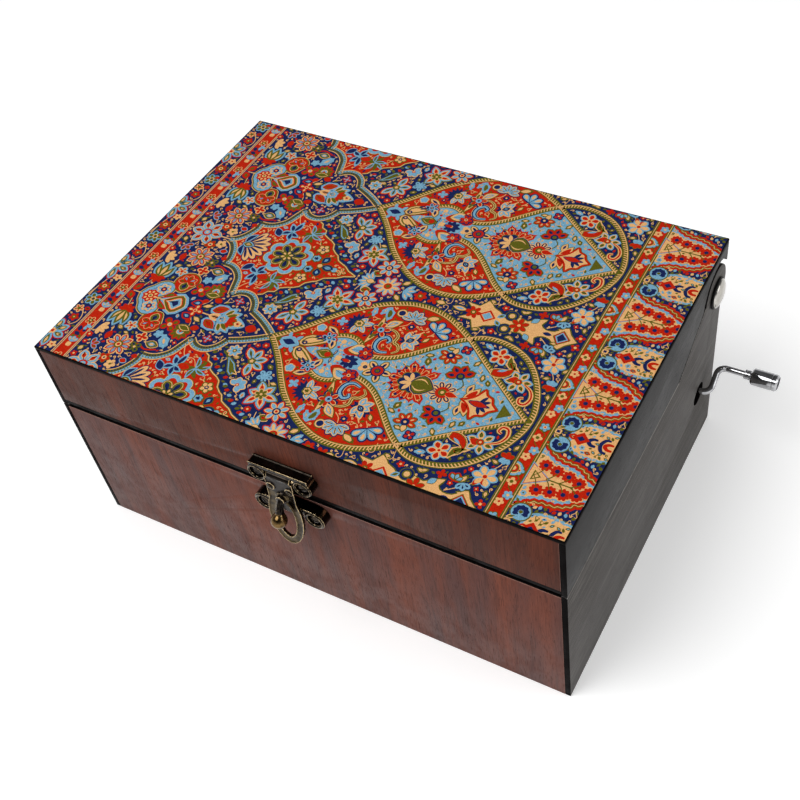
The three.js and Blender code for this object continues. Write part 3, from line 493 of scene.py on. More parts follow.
@dataclass(frozen=True)
class Timber(Finish):
    """Wood under lacquer, with its grain along one axis."""

    axis: Axis
    ground: Colour
    warm: Colour
    dark: Colour
    gloss: float = 0.34
    figure: float = 0.8
    pores: float = 0.6
    relief: float = 0.05
    wander: float = 6.0
    sheen: float = 0.05
    smears: float = 0.2
    fibre: float = 0.24
    lines: float = 0.32

    def look(self, g: Graph, place: Socket) -> dict[str, object]:
        """Figure between two browns, pores and lines in a third colour, and a satin coat. Where that colour
        is lighter than the ground, the pores and lines are painted glints.
        """
        lay = {Axis.X: (0, 0, 0), Axis.Y: (0, 0, -math.pi / 2), Axis.Z: (0, math.pi / 2, 0)}[self.axis]
        along = g.add("Mapping", {"Vector": place, "Rotation": lay}).outputs[0]
        grain = GRAIN.place(g, along, self.wander)
        dark = srgb(self.dark)
        colour = g.mix(g.times(grain["Figure"], self.figure), srgb(self.ground), srgb(self.warm))
        colour = g.mix(g.times(grain["Lines"], self.lines), colour, dark)
        colour = g.mix(g.ramp(grain["Fibre"], 0.0, 1.0, self.fibre, 0.0), colour, dark)
        smear = SCUFFS.place(g, place, 0.6)["Smear"]
        rough = g.ramp(smear, 0.0, 1.0, self.gloss * (1 - self.smears), self.gloss * (1 + self.smears))
        open_grain = g.math("ADD", g.times(grain["Pores"], 0.7), g.times(grain["Fibre"], -0.3))
        return {
            "Base Color": g.mix(g.times(grain["Pores"], self.pores), colour, dark),
            "Roughness": g.math("ADD", rough, g.times(grain["Pores"], 0.2)),
            "Specular IOR Level": self.sheen,
            "Normal": g.bump(g.times(open_grain, -1.0), self.relief),
        }


@dataclass(frozen=True)
class Fibreboard(Finish):
    """Plain fibreboard: matt, with short felted fibres."""

    colour: Colour

    def look(self, g: Graph, place: Socket) -> dict[str, object]:
        """Two scales of fibres over the board's own brown."""
        fine = g.noise(g.scale(place, (1.0, 1.0, 3.0)), 2.2, 6.0, 0.7)
        broad = g.ramp(g.noise(place, 0.08, 4.0), 0.3, 0.7, 0.0, 0.5)
        colour = srgb(self.colour)
        dark = tuple(c * 0.6 for c in colour)
        pale = tuple(min(c * 1.25, 1.0) for c in colour)
        return {
            "Base Color": g.mix(broad, g.mix(g.ramp(fine, 0.3, 0.7), dark, colour), pale),
            "Roughness": g.ramp(fine, 0.2, 0.8, 0.9, 0.7),
            "Normal": g.bump(fine, 0.08),
        }


@dataclass(frozen=True)
class Metal(Finish):
    """A metal: bright, brushed, cast or patinated, by its values."""

    colour: Colour
    dark: Colour
    gloss: float
    cast: float = 0.0
    brushed: float = 0.0
    patina: float = 0.0
    worn: Colour = (188, 155, 104)
    reach: float = 0.11

    def look(self, g: Graph, place: Socket) -> dict[str, object]:
        """Dark hollows, worn edges, smears and the grain of the cast or the brush."""
        wear = WEAR.place(g, place, self.reach)
        scuff = SCUFFS.place(g, place, 1.0)
        dark = srgb(self.dark)
        cloud = g.ramp(g.noise(place, 0.45, 5.0, 0.6), 0.35, 0.7)
        colour = g.mix(g.times(cloud, max(self.patina, 0.15)), srgb(self.colour), dark)
        colour = g.mix(g.times(wear["Hollow"], 0.5 + 0.5 * self.patina), colour, dark)
        rough = g.ramp(scuff["Smear"], 0.0, 1.0, self.gloss * 0.8, self.gloss * 1.35)
        sand = g.noise(place, 2.6, 4.0, 0.6)
        hair = g.noise(g.scale(place, (9.0, 9.0, 0.4)), 1.0, 2.0, 0.5)
        height = g.math("ADD", g.times(sand, self.cast), g.times(hair, self.brushed))
        return {
            "Base Color": g.mix(g.times(wear["Edge"], self.patina), colour, srgb(self.worn)),
            "Metallic": 1.0,
            "Roughness": g.math("ADD", rough, g.times(scuff["Scratch"], 0.08)),
            "Normal": g.bump(height, 0.12),
        }


@dataclass(frozen=True)
class Rubbery(Finish):
    """Black fibre or plastic: matt, with a fine grain."""

    colour: Colour

    def look(self, g: Graph, place: Socket) -> dict[str, object]:
        """A fine grain in colour, gloss and height."""
        grain = g.noise(place, 3.0, 5.0, 0.65)
        colour = srgb(self.colour)
        return {
            "Base Color": g.mix(g.ramp(grain, 0.35, 0.75), colour, tuple(c * 2.0 for c in colour)),
            "Roughness": g.ramp(grain, 0.3, 0.7, 0.45, 0.7),
            "Specular IOR Level": 0.15,
            "Normal": g.bump(grain, 0.03),
        }


@dataclass(frozen=True)
class PrintInk(Finish):
    """One ink of the print under a satin varnish."""

    colour: Colour
    shade: Colour

    def look(self, g: Graph, place: Socket) -> dict[str, object]:
        """An ink that lies a little uneven on the grain of the board."""
        tooth = g.noise(place, 2.4, 5.0, 0.7)
        cloud = g.times(g.noise(place, 0.05, 3.0), 0.1)
        share = g.math("ADD", g.ramp(tooth, 0.3, 0.7, 0.15, 0.85), cloud, clamp=True)
        return {
            "Base Color": g.mix(share, srgb(self.shade), srgb(self.colour)),
            "Roughness": g.ramp(tooth, 0.3, 0.7, 0.58, 0.46),
            "Specular IOR Level": 0.03,
            "Normal": g.bump(tooth, 0.01),
        }


VENEER_BODY = Timber("veneer_body", Axis.Z, (98, 68, 64), (136, 74, 54), (58, 40, 38), gloss=0.42, pores=0.42,
                     wander=9.0)
VENEER_LID = Timber("veneer_lid", Axis.Z, (79, 47, 39), (110, 56, 39), (42, 28, 25), gloss=0.4, pores=0.42,
                    wander=9.0)
# A pale veneer for the eased edges of the front boards: a painted highlight along the arris.
VENEER_EDGE_HIGHLIGHT = Timber("veneer_edge_highlight", Axis.Z, (150, 112, 102), (168, 122, 108), (96, 66, 60), gloss=0.4)
# The side lacquer's third colour, which its pores, lines and fibre take, is lighter than its ground: painted
# glints along the grain.
LACQUER_SIDE = Timber("lacquer_side", Axis.Y, (71, 68, 66), (79, 74, 72), (112, 108, 104), gloss=0.5,
                      figure=0.14, pores=0.5, sheen=0.06, smears=0.05, fibre=0.1, lines=0.5)
LACQUER_LID = Timber("lacquer_lid", Axis.Y, (58, 57, 57), (65, 63, 62), (36, 35, 35), gloss=0.46, figure=0.12,
                     pores=0.25, relief=0.03, sheen=0.06, smears=0.05)
LACQUER_BACK = Timber("lacquer_back", Axis.X, (52, 48, 47), (58, 52, 50), (26, 24, 24), gloss=0.5, figure=0.4,
                      pores=0.4, sheen=0.06)
# A pale lacquer for the eased top edges of the sides: a painted highlight along the arris.
LACQUER_EDGE_HIGHLIGHT = Timber("lacquer_edge_highlight", Axis.Y, (148, 144, 140), (166, 161, 156), (66, 62, 60), gloss=0.5,
                    lines=0.8)
# Near black: the boards' real black edges, and also painted shade in the seam between lid and body and on the
# wall of the crank's hole.
BLACK_EDGE_AND_SHADE = Timber("edge_black", Axis.Y, (13, 11, 11), (17, 14, 14), (7, 6, 6), gloss=0.6, figure=0.4,
                    pores=0.3, relief=0.03, sheen=0.02)
BOARD = Fibreboard("fibreboard", (176, 142, 104))
BRONZE = Metal("old_bronze", (40, 35, 31), (9, 8, 8), 0.19, cast=0.08, patina=0.85, worn=(198, 174, 134),
               reach=0.09)
HASP_BRONZE = Metal("hasp_bronze", (82, 70, 50), (16, 13, 10), 0.24, cast=0.08, patina=0.85,
                    worn=(206, 182, 138), reach=0.09)
RUBBED_BRONZE = Metal("rubbed_bronze", (124, 98, 60), (26, 19, 13), 0.17, patina=0.8, worn=(214, 190, 140),
                      reach=0.1)
DARK_BRONZE = Metal("dark_bronze", (60, 53, 46), (16, 14, 12), 0.26, cast=0.1, patina=0.6,
                    worn=(140, 120, 94), reach=0.3)
CHROME = Metal("chrome_plate", (176, 176, 178), (88, 88, 91), 0.07, patina=0.4, worn=(214, 214, 217))
NICKEL = Metal("dull_nickel", (184, 180, 172), (104, 100, 96), 0.15, patina=0.3, worn=(226, 224, 220),
               brushed=0.03)
STEEL = Metal("drawn_steel", (196, 198, 202), (120, 122, 128), 0.24, brushed=0.1)
BRASS = Metal("turned_brass", (222, 186, 112), (150, 112, 60), 0.2, brushed=0.06)
ZINC = Metal("zinc_casting", (170, 172, 172), (98, 100, 102), 0.46, cast=0.5)
WASHER = Rubbery("fibre_washer", (13, 12, 12))


class Ink(Enum):
    """The inks of the print. The board itself is navy."""

    NAVY = "navy"
    RED = "red"
    BLUE = "blue"
    OLIVE = "olive"
    CREAM = "cream"


NAVY, RED, BLUE, OLIVE, CREAM = Ink
INKS_BY_LETTER = {ink.value[0]: ink for ink in Ink}
INKS: dict[Ink, PrintInk] = {
    NAVY: PrintInk("ink_navy", (28, 42, 96), (15, 23, 54)),
    RED: PrintInk("ink_red", (206, 38, 8), (138, 24, 9)),
    BLUE: PrintInk("ink_blue", (132, 184, 210), (82, 120, 144)),
    OLIVE: PrintInk("ink_olive", (106, 104, 26), (64, 64, 18)),
    CREAM: PrintInk("ink_cream", (240, 188, 124), (188, 136, 86)),
}
FINISHES: dict[Slot, Finish] = {
    Slot.PRINT: VENEER_LID,
    Slot.VENEER: VENEER_BODY,
    Slot.LACQUER: LACQUER_SIDE,
    Slot.BOARD: BOARD,
    Slot.BRONZE: BRONZE,
    Slot.CHROME: CHROME,
    Slot.STEEL: STEEL,
    Slot.BRASS: BRASS,
    Slot.ZINC: ZINC,
    Slot.WASHER: WASHER,
}


Outline = list[Point]
Layer = tuple[Ink, int, Outline]
Motif = list[Layer]


class Repeat(Enum):
    """How a shape drawn at (x, v) repeats over the lid. v runs from a medallion's axis to the next mirror."""

    BOTH = ((39.3, -1), (39.3, 1), (-33.4, -1), (-33.4, 1))
    MEDALLION = ((39.3, -1), (-33.4, -1))
    BETWEEN = ((39.3, -1), (-33.4, -1), (112.0, -1))
    TILE = ((75.65, -1), (39.3, -1), (2.95, -1), (-33.4, -1), (-69.75, -1))
    HALF_TILE = tuple((112.0 - 18.175 * k, -1) for k in range(11))
    ONCE = ((0, 1),)


BOTH, MEDALLION, BETWEEN, TILE, HALF_TILE, ONCE = Repeat


def smooth(points: Path, closed: bool = False, steps: int = 5) -> Outline:
    """A smooth curve through points (Catmull-Rom).

    Args:
        points: The points it passes.
        closed: If it runs back to its start.
        steps: How many pieces each stretch gets.

    Returns:
        The points of the curve.
    """
    count = len(points)
    out: Outline = []
    for i in range(count if closed else count - 1):
        ids = [(i + k) % count if closed else min(max(i + k, 0), count - 1) for k in (-1, 0, 1, 2)]
        near = [points[j] for j in ids]
        for s in range(steps):
            t = s / steps
            out.append(tuple(
                0.5 * (2 * b + (c - a) * t + (2 * a - 5 * b + 4 * c - d) * t * t
                       + (3 * b - a - 3 * c + d) * t ** 3)
                for a, b, c, d in zip(*near)))
    return out if closed else out + [tuple(points[-1])]


def sides(outline: Outline) -> Iterator[tuple[Point, Point]]:
    """The sides of a closed outline, each as its two ends."""
    return zip(outline, outline[1:] + outline[:1])


def doubled_area(outline: Outline) -> float:
    """Twice the area of an outline, above 0 where it runs anticlockwise."""
    return sum(a[0] * b[1] - b[0] * a[1] for a, b in sides(outline))


def normals(points: Path, closed: bool = False) -> list[Point]:
    """The sideways direction at each point of a curve, of length 1."""
    count = len(points)
    out = []
    for i in range(count):
        a = points[(i - 1) % count if closed else max(i - 1, 0)]
        b = points[(i + 1) % count if closed else min(i + 1, count - 1)]
        dx, dy = b[0] - a[0], b[1] - a[1]
        length = math.hypot(dx, dy) or 1.0
        out.append((dy / length, -dx / length))
    return out


def aside(path: Path, by: Sequence[float], closed: bool = False) -> Outline:
    """A path whose points are moved sideways, each by its own amount."""
    return [(p[0] + n[0] * b, p[1] + n[1] * b) for p, n, b in zip(path, normals(path, closed), by)]


def inside(outline: Outline, x: float, y: float) -> bool:
    """If a point lies in an outline."""
    odd = False
    for (ax, ay), (bx, by) in sides(outline):
        if (ay > y) != (by > y) and x < (bx - ax) * (y - ay) / (by - ay) + ax:
            odd = not odd
    return odd


def clearance(outline: Outline, x: float, y: float) -> float:
    """How far a point is from the nearest side of an outline."""
    best = math.inf
    for (ax, ay), (bx, by) in sides(outline):
        dx, dy = bx - ax, by - ay
        t = max(0.0, min(1.0, ((x - ax) * dx + (y - ay) * dy) / (dx * dx + dy * dy or 1.0)))
        best = min(best, math.hypot(ax + dx * t - x, ay + dy * t - y))
    return best


def grow(outline: Outline, by: float) -> Outline:
    """An outline moved outwards, or inwards when by is negative, without the points that meet."""
    area = doubled_area(outline)
    out = aside(outline, [by if area > 0 else -by] * len(outline), closed=True)
    if by >= 0 or len(outline) < 7:
        return out
    kept = [p for p in out if clearance(outline, *p) > -0.6 * by]
    left = doubled_area(kept)
    return kept if left * area > 0 and abs(left) > 0.06 else []


def thick(path: Path, halves: Sequence[float]) -> Outline:
    """The outline of a line with a half width at each of its points."""
    return aside(path, halves) + aside(path, [-half for half in halves])[::-1]


def stroke(path: Path, width: float, foot: float = 1.0, tip: float = 1.0, belly: float = 0.0) -> Outline:
    """A brush stroke along a path.

    Args:
        path: The path.
        width: The full width.
        foot: The share of the width that is left at the start.
        tip: The share that is left at the end.
        belly: How much wider, as a share, it swells between them.

    Returns:
        The closed outline.
    """
    shares = [i / (len(path) - 1) for i in range(len(path))]
    halves = [width / 2 * (foot + (tip - foot) * t + belly * math.sin(math.pi * t)) for t in shares]
    return thick(path, halves)


def ring(radius: float, lobes: int = 0, depth: float = 0.0, steps: int = 20,
        pointed: bool = False) -> Outline:
    """A disc with a plain, scalloped or pointed edge."""
    count = max(steps, lobes * (2 if pointed else 6))
    out = []
    for i in range(count):
        angle = math.tau * i / count
        if pointed:
            r = radius * (1.0 if i % 2 else 1 - depth)
        else:
            r = radius * (1 - depth + depth * abs(math.sin(lobes * angle / 2)) ** 0.7) if lobes else radius
        out.append((r * math.cos(angle), r * math.sin(angle)))
    return out


def petal(length: float, width: float, full: float = 0.6, point: float = 0.8, bend: float = 0.0) -> Outline:
    """A petal or leaf from (0, 0) to (length, 0).

    Args:
        length: Its length.
        width: Its width.
        full: Where it is widest, as a share of its length.
        point: Under 1 for a round tip, over 1 for a sharp one.
        bend: How far its middle is moved sideways.

    Returns:
        The closed outline.
    """
    steps = 7
    power = math.log(0.5) / math.log(full)
    spine = []
    for i in range(steps + 1):
        t = (1 - math.cos(math.pi * i / steps)) / 2
        half = width / 2 * max(math.sin(math.pi * t ** power), 0.0) ** point
        spine.append((t * length, half, bend * math.sin(math.pi * t)))
    return [(x, y + b) for x, y, b in spine] + [(x, b - y) for x, y, b in spine[-2:0:-1]]


def serrate(outline: Outline, depth: float) -> Outline:
    """An outline with saw teeth along it."""
    pushed = grow(outline, depth)
    return [pushed[i] if i % 2 else p for i, p in enumerate(outline)]


def heading(turn: float) -> Point:
    """The direction of an angle in degrees, as a step of length 1."""
    return math.cos(math.radians(turn)), math.sin(math.radians(turn))


def moved(outline: Outline, x: float = 0.0, y: float = 0.0, turn: float = 0.0, flip: bool = False) -> Outline:
    """An outline turned by degrees and moved."""
    c, s = heading(turn)
    way = -1.0 if flip else 1.0
    return [(x + p[0] * c - p[1] * way * s, y + p[0] * s + p[1] * way * c) for p in outline]


def rims(text: str) -> list[tuple[Ink, float]]:
    """Inks and amounts from their short form: "o.35 c n-.6" is olive 0.35, cream 0 and navy -0.6."""
    return [(INKS_BY_LETTER[word[0]], float(word[1:] or 0)) for word in text.split()]


def nest(outline: Outline, inks: str, level: int = 0, teeth: float = 0.0) -> Motif:
    """One outline laid in ink over ink, each grown by its own amount.

    Args:
        outline: The outline.
        inks: The inks and their growth, from the outermost in.
        level: The outermost ink's level.
        teeth: The depth of saw teeth on the outermost ink.

    Returns:
        The layers that are left.
    """
    grown = [(ink, level + i, grow(outline, by) if by else outline) for i, (ink, by) in enumerate(rims(inks))]
    motif = [layer for layer in grown if len(layer[2]) > 2]
    if teeth:
        motif[0] = (*motif[0][:2], serrate(motif[0][2], teeth))
    return motif


def leaf(length: float, width: float, inks: str, full: float = 0.5, point: float = 1.0, bend: float = 0.0,
         teeth: float = 0.0) -> Motif:
    """A petal or leaf in inks laid over each other, with saw teeth of some depth round the outermost."""
    return nest(petal(length, width, full, point, bend), inks, teeth=teeth)


def disc(radius: float, inks: str, lobes: int = 0, depth: float = 0.0) -> Motif:
    """A disc in inks laid over each other."""
    return nest(ring(radius, lobes, depth), inks)


def shifted(motif: Motif, x: float = 0.0, y: float = 0.0, turn: float = 0.0, flip: bool = False,
            up: int = 0) -> Motif:
    """A motif turned, moved and raised by some levels."""
    return [(ink, level + up, moved(outline, x, y, turn, flip)) for ink, level, outline in motif]


def flower(petals: int, radius: float, width: float, inks: str, heart: str = "", start: float = 0.0,
           sweep: float = 360.0, full: float = 0.62, point: float = 0.7, teeth: float = 0.0) -> Motif:
    """Petals round a heart.

    Args:
        petals: How many.
        radius: How far they reach.
        width: How wide each is.
        inks: The inks of a petal, from the outermost one in, each with its growth.
        heart: Discs at the middle, each an ink and a radius.
        start: The first petal's angle in degrees.
        sweep: The angle that all of them fill.
        full: Where a petal is widest.
        point: How sharp its tip is.
        teeth: The depth of saw teeth on the outermost ink.

    Returns:
        The flower, with its middle at (0, 0).
    """
    out: Motif = []
    gaps = petals if sweep >= 360 else petals - 1
    for i in range(petals):
        petal_inks = leaf(radius, width, inks, full, point, teeth=teeth)
        out += shifted(petal_inks, turn=start + sweep * i / max(gaps, 1))
    for i, (ink, size) in enumerate(rims(heart), len(rims(inks))):
        out.append((ink, i, ring(size, steps=12)))
    return out


def curl(size: float, turns: float = 0.9, tail: float = 1.2, width: float = 0.34) -> Outline:
    """A tendril: a hook that winds up at its end."""
    path = [(-tail * size * 0.15, -tail * size * 0.9), (-size * 0.06, -tail * size * 0.4)]
    for i in range(8):
        t = i / 7
        angle = math.tau * turns * t
        r = size * (0.5 - 0.36 * t)
        path.append((size * 0.5 - r * math.cos(angle), r * math.sin(angle)))
    return stroke(path, width, 0.5, 0.9)


def boteh(length: float, width: float, bow: float) -> Outline:
    """A bent teardrop whose tip hooks over."""
    path = smooth([(0, 0), (length * 0.3, bow * 0.15), (length * 0.62, bow * 0.1),
        (length * 0.86, -bow * 0.35), (length * 0.84, -bow * 0.85), (length * 0.66, -bow * 0.8)], steps=3)
    shares = [i / (len(path) - 1) for i in range(len(path))]
    swell = [math.sin(math.pi * min(t * 1.5 + 0.12, 1.0) ** 0.8) * 0.85 + 0.16 * (1 - t) for t in shares]
    return thick(path, [width / 2 * share for share in swell])


def mirrored(half: Path) -> Outline:
    """A closed outline from its half on the side of the axis that v is positive on."""
    return list(half) + [(x, -v) for x, v in reversed(half) if abs(v) > 1e-6]


@dataclass
class Press:
    """Collects the print's shapes, ink by ink, and keeps the book of what is covered."""

    left: float = -99.5
    right: float = 99.5
    front: float = -69.5
    back: float = 69.5
    cell: float = 0.5
    sheets: dict[Ink, list[tuple[int, Outline]]] = field(default_factory=lambda: {ink: [] for ink in Ink})
    covered: set[tuple[int, int]] = field(default_factory=set)
    grounds: list[tuple[Ink, Outline]] = field(default_factory=list)

    def lay(self, motif: Motif, repeat: Repeat = BOTH, ground: bool | None = False) -> None:
        """Lays a motif at all its places.

        Args:
            motif: Its layers, in (x, v).
            repeat: How it repeats over the lid.
            ground: True for a ground that other motifs are laid on, None for the rim of one.
        """
        for ink, level, outline in motif:
            if ground:
                self.grounds.append((ink, outline))
            elif ground is not None:
                self.cover(outline)
            for axis, way in repeat.value:
                placed = [(x, axis + way * v) for x, v in outline]
                xs, ys = zip(*placed)
                across = max(ys) > self.front and min(ys) < self.back
                if across and max(xs) > self.left and min(xs) < self.right:
                    self.sheets[ink].append((level, placed))

    def cover(self, outline: Outline) -> None:
        """Enters an outline in the book."""
        columns, rows = (
            range(round(min(c) / self.cell), round(max(c) / self.cell) + 1) for c in zip(*outline))
        for i in columns:
            for j in rows:
                if (i, j) not in self.covered and inside(outline, i * self.cell, j * self.cell):
                    self.covered.add((i, j))

    def free(self, x: float, y: float, radius: float) -> bool:
        """If a disc is free of motifs."""
        reach = math.ceil(radius / self.cell)
        ci, cj = round(x / self.cell), round(y / self.cell)
        steps = range(-reach, reach + 1)
        return not any(math.hypot(i, j) * self.cell <= radius and (ci + i, cj + j) in self.covered
                       for i in steps for j in steps)

    def ground_at(self, x: float, y: float) -> Ink:
        """The ground's ink at a point."""
        return next((ink for ink, outline in reversed(self.grounds) if inside(outline, x, y)), NAVY)


def walk(path: Path, step: float) -> list[tuple[Point, float]]:
    """Places at equal distances along a path, each with the path's angle there in degrees."""
    out = []
    due = step / 2
    run = 0
    for a, b in zip(path, path[1:]):
        dx, dy = b[0] - a[0], b[1] - a[1]
        length = math.hypot(dx, dy)
        while length and due <= run + length:
            t = (due - run) / length
            out.append(((a[0] + dx * t, a[1] + dy * t), math.degrees(math.atan2(dy, dx))))
            due += step
        run += length
    return out


def waved(path: Path, depth: float, length: float) -> Outline:
    """A path with small waves along it."""
    runs = [0.0]
    for a, b in zip(path, path[1:]):
        runs.append(runs[-1] + math.hypot(b[0] - a[0], b[1] - a[1]))
    return aside(path, [depth * math.sin(math.tau * run / length) for run in runs])


def slab(length: float, width: float) -> Outline:
    """A small oblong round (0, 0), its length along x."""
    x, y = length / 2, width / 2
    return [(-x, -y), (x, -y), (x, y), (-x, y)]


def strip(path: Path, low: float, high: float, ink: Ink, level: int, chunk: int = 6) -> Motif:
    """A long line along a path between two offsets, in lengths of some pieces each."""
    count = len(path)
    a, b = aside(path, [low] * count), aside(path, [high] * count)
    ends = [(i, min(i + chunk, count - 1) + 1) for i in range(0, count - 1, chunk)]
    return [(ink, level, a[i:end] + b[i:end][::-1]) for i, end in ends]


@dataclass
class Termeh:
    """The lid's woven pattern, drawn by rule: borders, cusped frames, ogee medallions and their flowers."""

    press: Press = field(default_factory=Press)
    mirror: float = 36.35
    seed: int = 11

    def put(self, motif: Motif, x: float, v: float, turn: float = 0, up: int = 9, repeat: Repeat = BOTH,
            flip: bool = False) -> None:
        """Lays a motif at (x, v). Between two medallions, v is counted from the line that mirrors them."""
        v += self.mirror if repeat is BETWEEN else 0
        self.press.lay(shifted(motif, x, v, turn, flip, up), repeat)

    def pair(self, motif: Motif, x: float, v: float, turn: float = 0, up: int = 9,
             repeat: Repeat = MEDALLION) -> None:
        """Lays a motif and its mirror image on both sides of an axis."""
        self.put(motif, x, v, turn, up, repeat)
        self.put(motif, x, -v, -turn, up, repeat, flip=True)

    def sow(self, repeat: Repeat, twins: bool, *motifs: tuple) -> None:
        """Lays single motifs, or twins of them, from rows of motif, x, v, turn and level."""
        for row in motifs:
            (self.pair if twins else self.put)(*row, repeat=repeat)

    def fan(self, motif: Motif, x: float, v: float, turns: Sequence[float], **how: object) -> None:
        """Lays a motif at one place again and again, turned by each of some angles."""
        for turn in turns:
            self.put(motif, x, v, turn, **how)

    def spray(self, x: float, v: float, turns: Sequence[Point], shape: Sequence, twins: bool = False,
              up: int = 9, **how: object) -> None:
        """Lays leaves that spread from one place.

        Args:
            x: The place along the lid.
            v: The place across it.
            turns: Each leaf's angle in degrees and its length.
            shape: What leaf takes after the length.
            twins: If each leaf has its mirror image.
            up: Their level.
            how: The repeat, if it isn't the usual one.
        """
        for turn, length in turns:
            (self.pair if twins else self.put)(leaf(length, *shape), x, v, turn, up, **how)

    def lines(self, path: Path, rows: Sequence[tuple], repeat: Repeat = BOTH, chunk: int = 6) -> None:
        """Lays long lines along a path, from rows of two offsets, ink and level."""
        for row in rows:
            self.press.lay(strip(path, *row, chunk), repeat)

    def stem(self, points: Path, ink: Ink = CREAM, width: float = 0.34, repeat: Repeat = BOTH,
             up: int = 8) -> None:
        """Lays a thin stem through points."""
        self.press.lay([(ink, up, stroke(smooth(points, steps=4), width, 0.8, 0.7))], repeat)

    def band(self, low: float, high: float, inks: str, level: int = 1) -> None:
        """Lays a straight band over the lid's whole depth, between two x."""
        outline = [(low, -70.5), (high, -70.5), (high, 70.5), (low, 70.5)]
        self.press.lay(nest(outline, inks, level), ONCE, ground=True)

    def brush(self, path: Path, inks: str, repeat: Repeat = BOTH) -> None:
        """Lays brush lines of several inks and widths over each other."""
        for level, (ink, width) in enumerate(rims(inks), 9):
            self.press.lay([(ink, level, stroke(path, width, 0.5, 0.6, 0.5))], repeat)

    def rope(self, points: Path, width: float = 2.4, up: int = 5, step: float = 1.15,
            inner: int = 1) -> None:
        """Lays a rope: an olive band with cream edges and a ladder of cream ticks."""
        path = smooth(points, steps=6)
        half = width / 2
        edge = sorted((inner * (half - 0.66), inner * (half - 0.34)))
        self.lines(path, ((-half, half, OLIVE, up), (*edge, CREAM, up + 1)))
        tick = slab(0.4, width - 0.95)
        turned_ticks = [moved(tick, *at, angle + 24 * inner) for at, angle in walk(path, step)]
        self.press.lay([(CREAM, up + 2, outline) for outline in turned_ticks])

    def frame_path(self) -> list[Outline]:
        """The cusped frame's middle line, lobe by lobe, from the medallion's tip to the next mirror."""
        lobes = (
            ((-24.6, 0), (-29, 3.1), (-33.6, 5.7), (-37.8, 7.6)),
            ((-37.8, 7.6), (-39.4, 11.2), (-42.1, 13.7), (-44.8, 14.4), (-47.6, 13.7), (-50, 11.7)),
            ((-50, 11.7), (-51.3, 15.8), (-52.8, 20), (-55.6, 23), (-58.5, 24.4), (-61.6, 24.7)),
            ((-61.6, 24.7), (-61.6, 27.8), (-63.2, 32), (-65.6, 35), (-68.2, 36.35)))
        return [smooth(lobe, steps=5) for lobe in lobes]

    def frame(self) -> None:
        """The cusped frame with its checks."""
        for lobe in self.frame_path():
            self.lines(lobe,
                ((-1.5, 1.5, OLIVE, 3), (-1.5, -1.15, CREAM, 4), (1.15, 1.5, CREAM, 4), (0.15, 1, BLUE, 4)))
            checks: Motif = []
            for (x, v), angle in walk(lobe, 1.05):
                c, s = heading(angle)
                checks.append((NAVY, 5, moved(slab(0.5, 0.6), x - 0.55 * s, v + 0.55 * c, angle + 20)))
                checks.append((OLIVE, 5, moved(slab(0.4, 0.5), x + 0.6 * s, v - 0.6 * c, angle - 20)))
            self.press.lay(checks)

    def cartouche_edge(self) -> Outline:
        """The cartouche's serrated edge towards the medallion."""
        return [(-41.2, 15.4), (-39.6, 16.2), (-38.6, 18.1), (-36.4, 18.9), (-35.6, 21.2), (-33.4, 22.4),
            (-31.4, 23.2), (-29.6, 24.4), (-28.6, 26.8), (-26.6, 28.4), (-25.1, 29.2), (-23.6, 31.4),
            (-21.2, 32.5), (-19.4, 33.2), (-17.2, 34.9), (-13.4, 36.35)]

    def cartouche(self) -> None:
        """The red cartouche between two frames, with its palmettes."""
        lobes = self.frame_path()
        left = [p for lobe in reversed(lobes[2:]) for p in reversed(lobe)] + lobes[1][::-1][:16]
        edge = self.cartouche_edge()
        ground = [(-68.2, 36.6)] + left + edge + [(-13.4, 36.6)]
        self.press.lay([(RED, 1, ground)], ground=True)
        self.lines(edge, ((-0.35, 0.55, OLIVE, 2), (-0.1, 0.3, CREAM, 3)), chunk=1)
        for i, ((x, v), angle) in enumerate(walk(edge, 1.95)):
            c, s = heading(angle)
            self.put(leaf(1.9, 1.3, "orb"[i % 3], 0.5, 0.8), x + 1.6 * s + 0.2, v - 1.6 * c, angle - 60)
        fan = flower(7, 9, 2.5, "n.35 c", start=-62, sweep=124, full=0.75, point=0.6)
        veins = flower(7, 7.6, 1, "n", start=-62, sweep=124, full=0.7, point=0.8)
        big = disc(9.2, "o.5 c.25 b r-1.6", 8, 0.2)
        self.spray(-47.8, 24.6, ((-78, 6.6), (-118, 4.8), (24, 3.6), (150, 4.2), (75, 4.4)),
            (1.9, "b.3 n-.25", 0.5, 1, 0.3))
        for turn, length in ((-110, 5), (-65, 4.4), (-30, 5.2), (15, 5), (60, 4.4), (100, 5), (150, 3.6)):
            self.put(leaf(length, 1.3, "b.2 o-.2" if length > 4.5 else "o.2", bend=0.5), -40.2, 22.8, turn)
        self.stem(((-50.4, 14.6), (-47.4, 19.4), (-43.4, 19.4), (-40.6, 22.6)))
        self.sow(BETWEEN, False, (fan, -60, 0), (veins, -60.2, 0, 0, 12),
            (leaf(4.4, 2.8, "n.5 b.2 o-.2 c-.8", 0.45, 1), -61.6, 0, 0, 12), (big, -41.8, 0, 0, 4),
            (flower(7, 6.6, 3.6, "o.3 c o-.25 n-1", start=26, full=0.66, point=0.55), -41.8, 0),
            (flower(6, 2.7, 1.7, "n.3 o c-.4", "o.8", start=30), -42.4, 0, 0, 11),
            (leaf(4.4, 2.8, "o.4 n.1 b-.6", 0.5, 0.8), -27.2, 0), (disc(0.9, "o.3 c"), -28.2, 0, 0, 11),
            (flower(4, 2, 1.2, "o.25 c r-.3"), -19.4, 0), (disc(1.1, "o.3 b"), -22.2, 0))
        self.sow(BETWEEN, True, (leaf(5.6, 1.9, "b.35 n-.1", 0.5, 1, 0.8), -61.2, 0.6, 66),
            (leaf(3.6, 2.6, "o.4 n.1 b-.7", 0.55, 0.8), -28.2, 1.6, 70))
